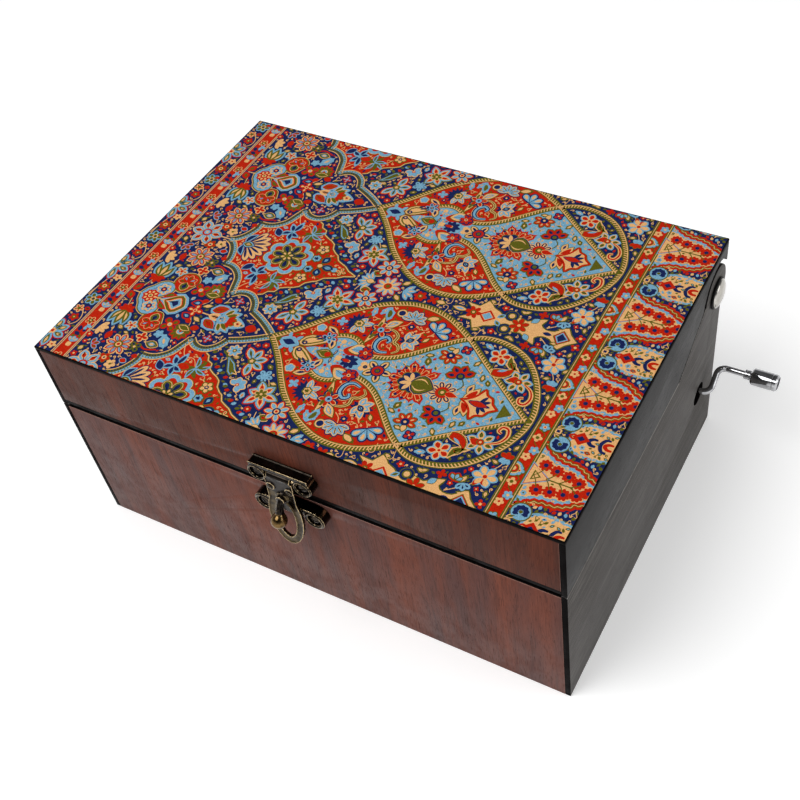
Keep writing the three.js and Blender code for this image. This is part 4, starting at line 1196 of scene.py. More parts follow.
        self.sow(BOTH, False, (leaf(4.4, 3, "o.25 r", 0.5, 0.7), -46.8, 23.6),
            (leaf(4.6, 2.6, "b.3 n", 0.55, 0.8), -54.2, 24.4, 50),
            (flower(5, 2.4, 1.7, "o.3 c-.1", "n.8 c.35"), -31.6, 28.4),
            (disc(1.6, "o.4 b n-.7", 6, 0.25), -31.4, 33.4))

    def outer_rope(self) -> list[Point]:
        """The medallion's outline from its left tip to the crossing."""
        return [(-24.6, 0), (-20.6, 3.7), (-15.3, 9.6), (-11.4, 14.6), (-7, 19.7), (-1.2, 24.8), (5, 28.9),
            (12.6, 31.9), (20, 32.4), (27.6, 30.6), (34.2, 27.2), (38.6, 24.4)]

    def straight_rope(self) -> list[Point]:
        """The diamond's edge from the crossing to the right tip."""
        return [(38.6, 24.4), (42, 21.8), (48, 17), (54, 12.4), (60, 7.9), (65.6, 3.6), (70.4, 0)]

    def inner_rope(self) -> list[Point]:
        """The diamond's edge from its neck to the crossing."""
        return [(12.2, 4.9), (16.4, 6.1), (20.6, 8.5), (25, 12.3), (30, 17.4), (34.6, 21.8), (38.8, 24.8),
            (43, 26.9), (48.4, 27.4), (54.4, 26.2), (60, 23.3), (65, 18.2), (69, 11.4), (71.3, 4.8),
            (71.9, 0)]

    def medallion(self) -> None:
        """The red ogee, the light-blue diamond in it, and the ropes that cross at its sides."""
        red = smooth(self.outer_rope(), steps=4) + smooth(self.straight_rope(), steps=1)
        self.press.lay([(RED, 1, mirrored(red))], MEDALLION, ground=True)
        neck = [(-11, 0), (-8.4, 1.5), (-5.6, 2.2), (-3.2, 3.6), (-2.4, 6), (-3.4, 8.6), (1.4, 9.6),
            (5.4, 8.6), (3, 6.4), (1.4, 3.9), (3.8, 2.4), (7.2, 3.1), (10, 2.3), (12.2, 3.6)]
        blue = smooth(neck, steps=4) + smooth(self.inner_rope()[:7], steps=3) + self.straight_rope()
        self.press.lay(nest(mirrored(blue), "o.5", 1), MEDALLION, ground=None)
        self.press.lay([(BLUE, 2, mirrored(blue))], MEDALLION, ground=True)
        navy = smooth(self.straight_rope(), steps=1) + smooth(self.inner_rope()[6:], steps=4)[::-1]
        self.press.lay([(NAVY, 2, navy)], ground=True)
        self.rope(self.outer_rope(), 2.5)
        self.rope(self.straight_rope(), 2.2)
        self.rope(self.inner_rope(), 2.4, inner=-1)
        self.rope([(-4.2, 8.6), (-1.4, 9.9), (1.4, 10.3), (4.2, 9.6), (6.2, 8.2)], 2.2, 6)

    def ogee_flowers(self) -> None:
        """The flowers on the medallion's red ground."""
        wing = leaf(10.4, 4.6, "o.45 c.05 o-.55 c-1.1", 0.35, 0.9, 0.8)
        for place in ((-9.6, 4.4), (-8.2, 5.4), (-10.6, 5.2)):
            self.pair(leaf(2.6, 0.9, "n"), *place, 38, up=13)
        for turn, length, at in ((-72, 4.8, (-4.2, 7.2)), (154, 5.6, (-3.6, 9))):
            self.pair(leaf(length, 2.4, "o.35 c.05 n-.65", 0.55, 0.9), *at, turn)
        self.spray(0.2, 16.4, ((-100, 4.6), (-40, 4.4), (20, 5.2), (65, 3.6)),
            (1.9, "c.3 b c-.55", 0.55, 0.9), twins=True, up=10)
        for place, turn in (((4.6, 23.4), 66), ((2.6, 21.6), 100)):
            self.pair(leaf(4.4, 1.8, "b c-.6", teeth=0.35), *place, turn)
        hook = smooth([(15.6, 8.4), (12.6, 7.7), (10.4, 9.4), (10.2, 12.6), (12.2, 14.6), (14, 13.6),
            (13.4, 12.2)], steps=4)
        self.brush(hook, "c2.3 n1.9 b.9")
        scroll = smooth([(17, 8.6), (18.6, 10.4), (17.4, 12.6), (15.6, 13.4), (15.6, 16.2), (13.6, 18),
            (10.8, 18.4)], steps=4)
        self.brush(scroll, "o1.5 c1 o.4")
        self.spray(19.4, 15.4, ((60, 5.4), (10, 4), (-35, 4.6), (105, 4.2), (-85, 3.8)),
            (2.3, "c.3 b-.1 c-.7", 0.5, 0.95), twins=True, up=10)
        self.stem(((13.6, 20.6), (15.6, 22.2), (16.4, 24.2)))
        self.stem(((18.6, 20), (21, 19.6), (22.8, 21.6)), width=0.6)
        lotus = flower(6, 4.6, 2.2, "n.45 c.1 b-.2 c-.7", start=-10, sweep=175, full=0.6)
        fan = flower(4, 5.2, 2.5, "n.45 b-.05 c-.6 n-.85", start=-10, sweep=140, full=0.72, point=0.55)
        self.stem(((24.6, 20), (25.8, 21.4), (26.4, 22.8)))
        self.sow(MEDALLION, False, (leaf(7, 4.6, "b.5 b n-.9"), -21.2, 0), (disc(0.9, "o"), -21.6, 0))
        self.sow(MEDALLION, True, (leaf(3, 1.3, "b.1"), -16, 1.4, 60),
            (leaf(2.6, 1.2, "b.1"), -18.6, 1.8, 105), (wing, -14.2, 1.2, 24),
            (disc(0.75, "n.2 c-.4"), -12.4, 1.7, 0, 13),
            (flower(6, 2.9, 1.7, "r.35 b-.15 n-.5", "b1.2 n.7 c.3"), -5.8, 6.8, 0, 10),
            (disc(1.7, "c.2 b-.1", 5, 0.2), -10.8, 10),
            (nest(ring(4.6, 15, 0.34, pointed=True), "n.2"), -0.2, 16.6, 10),
            (disc(1.5, "o.35 c-.1 o-.6", 6, 0.25), 0.2, 16.6, 0, 13),
            (flower(4, 1.9, 1.2, "b.1"), -5.8, 15.4, 20),
            (leaf(6.2, 2.6, "b.1 o-.45", bend=0.4, teeth=0.45), 6.4, 27.6, -74),
            (leaf(13.4, 2.3, "o.3 c o-.3", 0.5, 0.9, -0.9), 6.2, 9.4, 87),
            (flower(5, 3.6, 2, "n.35 c-.1 r-.35", "r1.6 b1.2 n.5", start=20, teeth=0.3), 8.6, 16.8, 0, 10),
            (leaf(6.2, 3, "o.35 c.05 b-.6 c-1", 0.45, 1, 0.3), 9.2, 18.6, 44),
            (leaf(6.8, 4.4, "o.35 c.1 b-.8", 0.5, 0.8, 0.4), 3.2, 4.6, 18),
            (flower(6, 2.5, 1.3, "n.35 r", "c.7 n.35", teeth=0.2), 9.2, 5.4, 0, 11),
            (nest(ring(4, 13, 0.3, pointed=True), "n.1"), 20.4, 16.2),
            (leaf(3.2, 2.2, "c.35 n b-.6", 0.5, 0.8), 19, 15.2, 40, 13), (lotus, 16.6, 25, 10),
            (disc(1.7, "o.3 c n-.5"), 11.4, 26.6), (fan, 26.4, 22.6),
            (leaf(5.4, 2.6, "o c-.35", 0.45, 1, teeth=0.3), 20.4, 27.2, 24),
            (leaf(3.4, 1.8, "o c-.35"), 24.2, 16.8, 60))

    def diamond_flowers(self) -> None:
        """The spindles, the big lotus and the tulip on the light-blue ground."""
        for i in range(13):
            turn = 48 + i * 22
            length = 9.6 if i in (0, 12) else 8.6 + 0.9 * math.cos(i * 2.1)
            spindle = serrate(petal(length, 3.1, 0.62, 0.85), 0.4)
            self.put(nest(spindle, "r c-.75 r-.95"), 30.2, 0, turn, repeat=MEDALLION)
            if 1 < i < 11:
                c, s = heading(turn)
                self.put(disc(0.55, "n"), 30.2 + 7 * c, 7 * s, repeat=MEDALLION, up=13)
        self.fan(leaf(4.2, 1.5, "n.3 c", 0.6, 0.7), 30, 0, (116, 158, 202, 244), repeat=MEDALLION, up=13)
        bulb = petal(8.6, 8.4, 0.42, 0.9)
        for v, ink in ((0, "n"), (0.95, "c"), (1.7, "r"), (2.5, "c")):
            self.pair(leaf(6.8 - 0.7 * v, 0.6, ink, 0.5, 0.7, 0.55 * v), 30.4, 0.42 * v, up=15)
        cup = mirrored(smooth([(47.6, 0), (50.2, 1.4), (52, 3.4), (53.6, 6.6), (55, 4.6), (57.2, 3.8),
            (58.2, 1.8), (60.6, 0)], steps=3))
        self.press.lay(nest(cup, "o.5 r.25 c-.5", 10), MEDALLION)
        self.fan(leaf(4.4, 1.3, "n", 0.6, 0.8), 53.6, 0, (-62, -31, 0, 31, 62), repeat=MEDALLION, up=13)
        half = flower(4, 4.9, 2.7, "o.3 r n-.7", "n1.5 o.8", start=30, sweep=150, point=0.9, teeth=0.25)
        self.stem(((44.4, 2), (45.8, 5.2), (43.6, 8.2)), OLIVE, 0.5, BOTH)
        crown = flower(5, 3.9, 1.9, "o.3 r c-.6", "n1.5 c.5", start=170, sweep=200)
        for place, turn in (((45, 14.2), 60), ((28.2, 12.4), 20), ((24.6, 5.8), -30), ((50.4, 9), 100),
                ((33.4, 18), 10)):
            self.pair(leaf(3.2, 1.7, "o c-.35", 0.45, 1, teeth=0.25), *place, turn)
        self.sow(MEDALLION, False, (leaf(6.6, 4, "o.2 c-.4 o-.6", 0.5, 1.1), -6.6, 0),
            (disc(1.1, "o.3 r"), -2.3, 0, 0, 12), (disc(1.2, "c.1", 4, 0.25), 1.9, 0),
            (flower(8, 3, 1.3, "n.15", "n1.3 c.6"), 6, 0), (leaf(3, 1.5, "r", 0.5, 0.9), 3.4, 0, 0, 12),
            (leaf(3.2, 1.8, "n", 0.4, 1), 6.4, 0, 0, 12), (flower(4, 2.4, 2, "c.15", "n.8 o.3"), 12.3, 0, 45),
            (flower(5, 4.9, 2.2, "o.35 c n-.6", "n2.5 r2 n1.1 o.7"), 17, 0),
            (disc(4.4, "o.35 n", 7, 0.22), 29.6, 0, 90, 12), (nest(bulb, "c.2 n o-.35"), 29.4, 0, 0, 13),
            (flower(9, 4.6, 1.9, "c.2 n-.1 c-.6", "r2.4 o1.4 c.6", full=0.72, point=0.5), 41, 0),
            (leaf(4.4, 2.2, "c.2 r", 0.35, 1), 42, 0, 0, 13), (leaf(6.4, 2.2, "n.3 r"), 50.6, 0, 0, 14),
            (nest([(-0.1, -3), (3.6, 0), (-0.1, 3)], "o.2"), 61.6, 0))
        self.sow(MEDALLION, True, (leaf(3, 0.8, "n c-.25", 0.5, 0.8), -0.4, 0.3, 84),
            (disc(0.55, "r"), -0.6, 4.4), (disc(1, "c", 5, 0.2), -0.2, 7.2),
            (leaf(6.6, 3, "o.3 c r-.5", 0.45, 1, -0.6), 48.2, 0.6, 58),
            (leaf(4.2, 2.2, "o.25 c n-.6"), 48.4, 2.8, 82), (half, 43.2, 8.4, 10), (crown, 36, 15.4),
            (leaf(3, 1.8, "o.3 c"), 36.4, 16.2, 80),
            (flower(4, 1.9, 1.6, "n.3 r-.2", "c.35"), 39.8, 19.6, 45))

    def segment_flowers(self) -> None:
        """The flowers on the navy ground between the crossed ropes."""
        self.stem(((50.8, 16), (50.6, 18.6), (51.2, 21)), OLIVE, 0.5)
        teardrop = boteh(8.4, 3.4, 4.4)
        self.put(nest(teardrop, "c.4 o.12 r-.15"), 51.6, 14.2, 22, flip=True)
        self.stem(((53.8, 13.4), (56.6, 13), (58.6, 13.4)))
        hook = smooth([(63.6, 13.2), (66.6, 11.4), (68, 8.4), (67.2, 5.6), (65.2, 5.4), (64.6, 7.2),
            (65.8, 7.9)], steps=4)
        self.brush(hook, "o2 c1.5 r.6")
        self.sow(BOTH, False, (flower(5, 3.7, 2.5, "b.35 c-.05 r-.4", "c.9 r.5", start=-70), 51.2, 21.2, 15),
            (leaf(3.4, 1, "b"), 53, 15, 28, 13),
            (flower(6, 4.6, 2.3, "b.35 c-.1 o-.5", "o1.3 r1 c.45", start=10, point=1), 61.4, 13.4),
            (leaf(3.6, 2.8, "c.25 r", 0.6, 0.8), 57.8, 13.4, 10, 11),
            (leaf(7.4, 2.4, "c.2 o-.15", 0.45, 1, -1.6, 0.3), 54.6, 22.8, -46),
            (leaf(3.4, 1.6, "b.1 c-.5", teeth=0.2), 44.4, 24.6, -20))

    def field_flowers(self) -> None:
        """The flowers on the navy field outside the medallions."""
        self.spray(-24.4, 12.6, ((-82, 5.6), (-30, 5.4), (22, 5.6), (78, 6.6), (-128, 6.4)),
            (2.9, "r.5 c b-.3 o-.95", 0.58, 0.8))
        drop = leaf(12.6, 3, "o.3 b-.1 o-.5 c-.85", 0.75, 0.9, -1.2)
        self.stem(((-17.8, 16.6), (-14.6, 17.2), (-12, 20.4), (-9.4, 21.4)))
        self.stem(((-22.4, 23.8), (-21.8, 26), (-20.2, 27.2)))
        for turn, length, rim in ((62, 6.4, "r"), (4, 6.4, "o"), (122, 6.4, "r"), (-58, 5.2, "o"),
                (-118, 5.6, "o"), (182, 4.8, "r")):
            self.put(leaf(length, 3.2, rim + ".5 b.05 c-.55 r-.95", 0.5, 0.95), -13, 23.8, turn)
        self.stem(((-10.2, 30.6), (-9, 34.2), (-5.2, 36.2)))
        self.fan(leaf(5, 1.7, "b.15 c-.5", 0.6, 0.9), -6.4, 0, (116, 142, 167, 193, 218, 244), repeat=BETWEEN)
        self.fan(leaf(4.6, 1.6, "b.15 c-.5", 0.6, 0.9), 6.2, 0, (-50, -18, 18, 50), repeat=BETWEEN)
        self.ornament()
        self.stem(((59.6, 34), (62.2, 32), (65.4, 29.2), (67.2, 26.6)))
        self.fan(leaf(3.4, 1.8, "o.25 r", 0.5, 0.9), 67.6, 25.6, (40, 110), up=8)
        self.stem(((69, 22), (71, 19), (71.4, 16)))
        for place, turn in (((72.2, 12.4), -70), ((70.2, 18.8), 200), ((72.6, 22), 60), ((71.4, 29), 80),
                ((66, 33.4), 190), ((51, 30.6), -160), ((49.6, 30.4), -30), ((36.4, 28.8), 20)):
            self.put(leaf(2.9, 1.7, "o c-.35", 0.45, 1, teeth=0.25), *place, turn)
        self.sow(BOTH, False, (disc(1.3, "o.2 c-.5", 5, 0.2), -24.4, 12.6, 0, 13),
            (flower(7, 2.5, 1.2, "c.35 b", "o.8 c.4"), -32.6, 10.8), (drop, -36.2, 12, 45),
            (leaf(7.2, 1.7, "c.2 o-.2", 0.6, 1, 0.9), -31.4, 15.2, 38),
            (leaf(3, 2, "o c-.35"), -31.6, 13.6, -20), (flower(5, 2.8, 1.7, "b.1 n-.65"), -16.4, 16.6),
            (leaf(3, 1.8, "o c-.35"), -13.4, 18.4),
            (flower(5, 3.1, 2, "c.35 b", "r.7 c.4", start=200, sweep=220), -22.8, 23.4),
            (flower(6, 2.2, 1.2, "c.3 o", "c.5"), -13, 23.8, 0, 13),
            (flower(7, 4.3, 2.1, "n.5 r.3 c-.1 b-.4", "n1.5 c.9 r.5"), -4.2, 28, 12),
            (leaf(3.4, 2.6, "c.3 o r-.7", 0.45, 1), -8.2, 31.4, 20),
            (flower(3, 3, 1.9, "r.35 o-.1 b-.4", start=-130, sweep=90), 60.8, 29.6),
            (leaf(4, 2, "o c-.35", 0.45, 1, teeth=0.3), 62.4, 29.6, -66),
            (flower(3, 2.7, 1.6, "b.2 n-.5", start=20, sweep=100), 63.8, 29.4),
            (flower(6, 4.1, 2.5, "b.25 c-.3", "c1 r.7"), 68.6, 24.6),
            (flower(3, 2.7, 1.6, "o.2 r", start=-140, sweep=100), 71.4, 16),
            (flower(3, 2.4, 1.3, "b.2", start=50, sweep=80), 71.4, 15.8),
            (flower(4, 1.7, 1.1, "r.1", "r.6"), 56.2, 28.8))
        self.sow(BETWEEN, False, (leaf(3, 2.2, "o.2 c", 0.5, 0.9), -8.6, 0, 0, 12),
            (flower(9, 4.9, 2.1, "r.35 b-.1 c-.45", "c2 r1.5 o.8"), 0, 0),
            (flower(6, 2.4, 1.4, "r.1", "o.9 c.4"), 13, 0),
            (flower(4, 2.1, 1.2, "r.1", "r.7", start=45), 18, 0), (leaf(3.4, 1.8, "o.35 c-.05"), 19.4, 0))
        self.pair(leaf(4, 2.2, "o c-.35", 0.45, 1, teeth=0.3), 4.2, 2.6, 40, repeat=BETWEEN)

    def ornament(self) -> None:
        """The cream ornament between two medallions."""
        body = [(31, 0), (33.6, 1), (29.8, 3.8), (34.4, 3.4), (36.4, 6.8), (39.4, 4.4), (42, 3.4),
            (44.4, 1.6), (46.6, 1.2), (49, 3.4), (52.4, 2.8), (54.6, 4.4), (58.4, 6), (57.4, 3.2),
            (59.6, 1.5), (62.6, 1.8), (64.6, 3.6), (66.6, 5), (68.2, 2.6), (71.4, 0)]
        outline = [(x, self.mirror + v) for x, v in mirrored(smooth(body, steps=2))]
        self.press.lay(nest(outline, "o.45 c", 8), BETWEEN)
        for x in (24.6, 33, 39.6):
            self.pair(nest(curl(2.6, 0.8), "c"), x, 1.8 if x < 30 else 7.4, 200, repeat=BETWEEN)
        self.sow(BETWEEN, False, (leaf(5.4, 2, "o.3 c b-.5"), 25.8, 0),
            (flower(6, 2.9, 1.5, "r.1", "o1 c.5"), 33.6, 0, 0, 11),
            (nest([(-3.1, 0), (0, -3), (3.1, 0), (0, 3)], "r c-.9 b-1.2"), 38.8, 0, 0, 11),
            (flower(6, 3.4, 1.7, "o.15 r-.05", "r1.2 c.6"), 50.6, 0, 30, 11),
            (leaf(3.4, 1.6, "n"), 59.2, 0, 0, 11),
            (nest([(-2.6, 0), (0, -3.4), (3.6, 0), (0, 3.4)], "o.1 r-.3 b-.8 n-1.4"), 65.6, 0, 0, 11))
        self.sow(BETWEEN, True, (leaf(3, 1.6, "b.15 o-.3"), 42.2, 0.8, 40, 11),
            (disc(2.2, "o.3 n o-.7 c-1.2"), 46.6, 3.2, 0, 10), (leaf(3.2, 2, "o.2 b"), 53.8, 2.8, 50, 11))

    def left_field(self) -> None:
        """The navy field between the left border and the frames, with its double palmette."""
        shield = mirrored(smooth([(-81.4, 0), (-80.4, 2.8), (-78.8, 4.8), (-77.4, 7.2), (-74.4, 8.6),
            (-71.4, 7.4), (-70.6, 4.4), (-72.8, 1.6), (-74.6, 0)], steps=3))
        lobe = smooth([(-71.2, 6.6), (-73, 9.6), (-72.2, 13.4), (-69.2, 15.2), (-66.2, 14.7), (-64.4, 12.2),
            (-65.6, 8.6), (-67.4, 5.8)], closed=True, steps=3)
        self.press.lay(nest(lobe, "c.55 o.3 r-.15", 6))
        self.press.lay(nest(shield, "c.55 o.3 b-.15 n-1.5 b-1.7", 6), MEDALLION)
        moon = leaf(11.8, 11.2, "n.45 b c-1 o-1.3 r-2.1 c-2.5 b-3 n-3.8", 0.6, 0.72)
        self.put(moon, -72.6, 0, repeat=MEDALLION, up=7)
        self.pair(leaf(5, 2, "r.2 o-.3", 0.5, 1, 0.8), -72, 0.9, 34, up=13)
        self.stem(((-74.6, 0), (-72.4, 0), (-70.6, 0)), CREAM, 0.6, MEDALLION, 14)
        for turn in (-8, 40, 88, 136, 184):
            inks = "c.2 r b-.6" if turn in (40, 136) else "c.2 r o-.6"
            self.put(leaf(3.5, 2, inks, 0.6, 0.7), -68.6, 10.8, turn, up=10)
        self.stem(((-84.6, 0), (-82.8, 0), (-81.2, 0)), CREAM, 0.5, MEDALLION, 11)
        self.stem(((-82.6, 3.4), (-81.8, 6.4), (-80.8, 9.4)))
        for turn, length, width in ((90, 8.4, 3.4), (68, 8, 2.9), (112, 8, 2.9)):
            self.put(leaf(length, width, "b.45 o-.25 c-1", 0.45, 0.9, (turn - 90) * 0.03), -80.6, 8.8, turn)
        self.stem(((-79.4, 17.6), (-78.6, 21.4), (-76.2, 24)))
        self.fan(leaf(3.6, 1.5, "c.15", 0.65, 0.8), -84.4, 19.6, (-50, -10, 30, 70), up=10)
        branch = ((-70.4, 18.8), (-68.6, 21.2), (-65.4, 21.2), (-62.4, 22.4), (-58.4, 21))
        self.stem(branch, RED, 0.9)
        self.stem(((-57.2, 2.6), (-55.2, 5.4), (-54.6, 8)))
        star = flower(6, 6.4, 3.6, "c.35 b.05 c-.75 r-1", "r1.9 b1.2 c.5", point=1)
        self.stem(((-72.2, 36.35), (-69.8, 36.35), (-67.6, 36.35)), CREAM, 0.6, BETWEEN, 8)
        self.sow(MEDALLION, False,
            (flower(8, 3, 1.6, "r.2 c-.35", "r1.5 c.9 o.45", teeth=0.2), -77, 0, 0, 11),
            (flower(4, 3.1, 2.2, "r.1 c-.6", "c.8 r.4", point=0.6), -57.2, 0))
        self.sow(MEDALLION, True, (flower(6, 2.6, 1.7, "c.25 b-.3", "n1.2 r.7 c.35"), -74.3, 4.5, 0, 11),
            (leaf(4.4, 3, "r.1 o-.9", 0.5, 0.9), -85.4, 0.4, 56),
            (leaf(4.2, 3, "r.25 n-.3 b-.9", 0.55, 0.7), -60.6, 2.6, 20),
            (leaf(4.2, 2.2, "o c-.35"), -56, 2.6, 24))
        self.sow(BOTH, False, (leaf(4.2, 3.2, "c.3 o.05 n-.8", 0.55, 0.7), -68.4, 10.8, -92),
            (flower(5, 3.1, 1.5, "r.1", start=180, sweep=180), -80.8, 9.2, 0, 12),
            (leaf(4, 2.4, "r.1", 0.5, 0.9), -78.6, 19.6, 92),
            (leaf(3.2, 2, "o c-.35", 0.5, 0.9), -78.6, 16.2, 26),
            (leaf(2.6, 1.6, "o c-.35", 0.5, 0.9), -74.8, 18.2, 10),
            (flower(5, 2.3, 1.4, "b.35 c-.05 r-.4", "r.6"), -74, 14.8),
            (flower(8, 4.9, 2.1, "c.25 r-.1 b-.55", "o1.7 c1.1 r.6", teeth=0.2), -72.4, 24),
            (flower(4, 2.5, 1.9, "o.1 n-.5", "c.5"), -66.4, 22.8, 45),
            (flower(4, 2.2, 1.5, "c.3 r-.1", "r.6"), -66.8, 18),
            (leaf(4.9, 3.2, "c.25 o b-.7 c-1.1", 0.5, 0.9), -63.8, 19.6),
            (leaf(6.4, 3.2, "b.1 c-1.1", 0.5, 0.9, teeth=0.5), -60, 14, 58),
            (flower(5, 1.8, 1.2, "b.1"), -62.2, 14.4),
            (flower(4, 3.6, 2.7, "n.2 r o-.7", "r1.4 c.9 b.4", point=0.5), -61.4, 9.2, 45),
            (flower(7, 3.9, 2, "r.25 o-.3", "c1.5 b1.2 r.5", start=-10, sweep=220), -55.8, 10.6),
            (leaf(6, 3.3, "o.2 c-.3 o-.6", 0.5, 0.95), -58.6, 8.2, 10, 12),
            (leaf(3, 2.2, "r.2", 0.5, 0.8), -53.6, 7.8, -20),
            (leaf(2.6, 1.8, "r.1", 0.5, 0.9), -57.6, 4.8, 20),
            (leaf(3, 2.2, "o c-.35", 0.5, 0.9), -84.4, 31.8, -70),
            (flower(3, 3, 1.6, "b.2 r-.1 o-.5", start=-150, sweep=110), -81.6, 27.6, 60),
            (flower(5, 2.3, 1.5, "o.2 r", "c.9 n.4"), -73, 31),
            (flower(5, 2, 1.3, "c.2", "o.5"), -69.2, 32.6),
            (leaf(2.8, 2.1, "b.25 r", 0.5, 0.9), -67.4, 29.4, 10),
            (leaf(2.2, 1.8, "r.1", 0.5, 0.8), -64.6, 26.4))
        self.put(star, -78.2, 0, repeat=BETWEEN)

    def frame_palmette(self) -> None:
        """The light-blue palmette inside the frame's tip."""
        self.stem(((-54, 0), (-52, 0), (-50, 0)), CREAM, 0.6, MEDALLION, 11)
        for turn, length, width in ((62, 6.8, 2.6), (36, 7.4, 2.8), (12, 7.8, 2.6)):
            self.pair(leaf(length, width, "b.35 b c-.4 o-.65", 0.55, 1), -46.4, 0.4, turn, up=9)
        self.fan(leaf(3.4, 1.5, "o.2 r", 0.5, 0.9), -43.4, 0, (-58, -20, 20, 58), repeat=MEDALLION, up=12)
        self.pair(leaf(6.8, 4.2, "b.35 r-.3 o-.9 r-1.15", 0.45, 0.8, teeth=0.35), -51.6, 2.2, 28)
        self.sow(MEDALLION, False, (leaf(5.2, 3.3, "c.2 r-.9 c-1.1", 0.5, 0.7), -51, 0, 0, 11),
            (leaf(9.6, 3.4, "b.4 c o-.4", 0.7, 0.9), -46, 0, 0, 10),
            (disc(1.5, "b.5 c r-.8", 5, 0.2), -39, 0, 0, 12),
            (disc(2, "b.3 c-.7 b-1", 6, 0.2), -45.4, 0, 0, 13), (leaf(4.4, 3.7, "r", 0.45, 0.8), -35.6, 0))
        self.put(flower(4, 1.9, 1.3, "r.1 b-.35", "b.5"), -44.8, 9.8)

    def left_border(self) -> None:
        """The navy border at the left edge, and the red band with its cream lines."""
        self.band(-91.6, -87.15, "r")
        for x in (-92.55, -91.9, -86.9, -86.3):
            self.band(x - 0.17, x + 0.17, "c", 2)
        for points in (((-98.4, 3), (-99.2, 8)), ((-97.2, -3), (-98.2, 2), (-98.6, 6.4), (-98.2, 11.4)),
                ((-95.6, 15.2), (-93.9, 18), (-93.8, 21), (-95.8, 23.4))):
            self.stem(points, CREAM, 0.4, TILE)
        self.spray(-98.9, 27.8, ((-42, 6), (14, 5.6), (80, 7.4), (-88, 6.2)),
            (3.2, "r.45 b.05 o-.65 c-1.1", 0.6, 0.8), repeat=TILE)
        self.sow(HALF_TILE, False, (flower(5, 1.9, 1.2, "c.15 r-.1", "o.9 c.35"), -89.2, 0.4),
            (leaf(2.6, 1.7, "n", 0.5, 0.8), -90.8, 3.6, 70),
            (flower(3, 2, 1.1, "b.1", start=-80, sweep=160), -88.8, 3),
            (leaf(2.6, 1.6, "n", 0.5, 0.8), -91, 6.8, 20), (leaf(1.6, 1.1, "o", 0.5, 0.9), -88.4, 7.4, 60),
            (flower(3, 2.7, 1.3, "b.1 c-.35", start=-130, sweep=80), -89.2, 11.4),
            (disc(1.1, "c", 4, 0.2), -89.2, 12.6), (leaf(1.5, 1.1, "o", 0.5, 0.9), -90.8, 9.4, -60),
            (leaf(1.5, 1.1, "n", 0.5, 0.9), -87.4, 5.2, 170))
        self.sow(TILE, False, (disc(1.4, "c r-.6", 5, 0.2), -98.9, 27.8, 0, 13),
            (flower(6, 3, 1.8, "b.25 o-.2", "c1.1 o.7 n.35"), -95.7, 9.4),
            (leaf(2, 1.6, "r", 0.5, 0.8), -93.6, 7, 120, 12),
            (flower(6, 2.5, 1.5, "r.1 o-.4", "c.9 o.4"), -96.2, 2.4),
            (flower(5, 2, 1.3, "c.1 r-.3", "o.7"), -97.4, 15.2),
            (leaf(2.4, 1.9, "r o-.6", 0.5, 0.8), -95.6, 14.2),
            (flower(5, 1.9, 1.2, "r.1", "o.8 c.3"), -96.2, 19.4),
            (flower(5, 1.7, 1, "c.1", "r.4"), -94.6, 33.2))

    def right_border(self) -> None:
        """The red flower band and the border of light-blue ovals and red flame panels."""
        self.band(75, 79, "r")
        for x, ink, half in ((73.95, "o", 0.2), (74.75, "o", 0.28), (74.4, "c", 0.13), (79.2, "o", 0.25),
                (80, "o", 0.25), (79.6, "c", 0.12)):
            self.band(x - half, x + half, ink, 3)
        self.stem(((76, 1.6), (78.3, 3.2), (76.4, 6.4), (78.2, 8.6), (77, 11.2)), OLIVE, 0.35, HALF_TILE)
        self.band(80.2, 99.8, "n")
        for k, (ink, r) in enumerate(rims("o3.1 b2.8 c2.1 o1.7 r1.4 c.8")):
            self.put([(ink, k, [(max(x, 0), y) for x, y in ring(r)])], 75, 18.17, repeat=TILE)
        wave = [(80.2, 6), (82.4, 6.9), (84.6, 8.7), (88, 9.7), (92, 10), (95.6, 11.4), (97.6, 13),
            (99.6, 13.4)]
        path = waved(smooth(wave, steps=5), 0.32, 2.4)
        mid = 18.175
        mirrored_path = [(x, 2 * mid - v) for x, v in path]
        self.press.lay([(BLUE, 2, path + mirrored_path[::-1])], TILE, ground=True)
        inner = [(80.2, 9.8), (82.8, 10.2), (84.4, 11.6), (87.6, 12.6), (91.4, 12.9), (94.6, 14.1),
            (97, 15.6), (99.4, 16.2)]
        core = serrate(smooth(inner, steps=3), 0.28)
        self.press.lay([(CREAM, 3, core + [(x, 2 * mid - v) for x, v in reversed(core)])], TILE, ground=True)
        star = disc(2.3, "c.3 r-.05", 9, 0.22) + nest(ring(0.75), "n", 2)
        for way in (1, -1):
            self.lines(path if way > 0 else mirrored_path,
                ((-1.25, 1.25, RED, 4), (-0.42, 0.42, OLIVE, 5), (-0.12, 0.12, CREAM, 6)), TILE)
            for x, v in ((84, 4.7), (88, 3.9), (92, 3.3), (95.7, 2.2)):
                v *= way
                self.put(star, x + way * 0.5, mid + v, 0, repeat=TILE)
                stalk = ((x, mid + v * 0.8), (x - 1.2, mid + v * 0.3), (x - 2.4, mid))
                self.stem(stalk, OLIVE, 0.4, TILE, 12)
        self.stem(((84, mid), (90, mid), (98, mid)), OLIVE, 0.55, TILE)
        triangle = [(-0.4, -3.9), (5.8, 0), (-0.4, 3.9)]
        hook = [(1.6 * math.cos(t / 3), 1.6 * math.sin(t / 3)) for t in range(-2, 13)]
        barb = nest(serrate(stroke(hook, 1.7, 0.8, 0.7), 0.35), "n", 2)
        horn = disc(3, "o.4 b") + barb + nest(ring(0.6), "o", 2)
        oval = mirrored(smooth([(85.4, 0), (85.8, 3.4), (87.8, 5.6), (91.6, 6.6), (95.6, 6.4), (101.5, 5.6)],
            steps=4))
        self.press.lay(nest(oval, "o.45 b.15 b", 3), TILE, ground=None)
        self.press.lay(nest(serrate(oval, 0.35), "c-1", 6), TILE, ground=True)
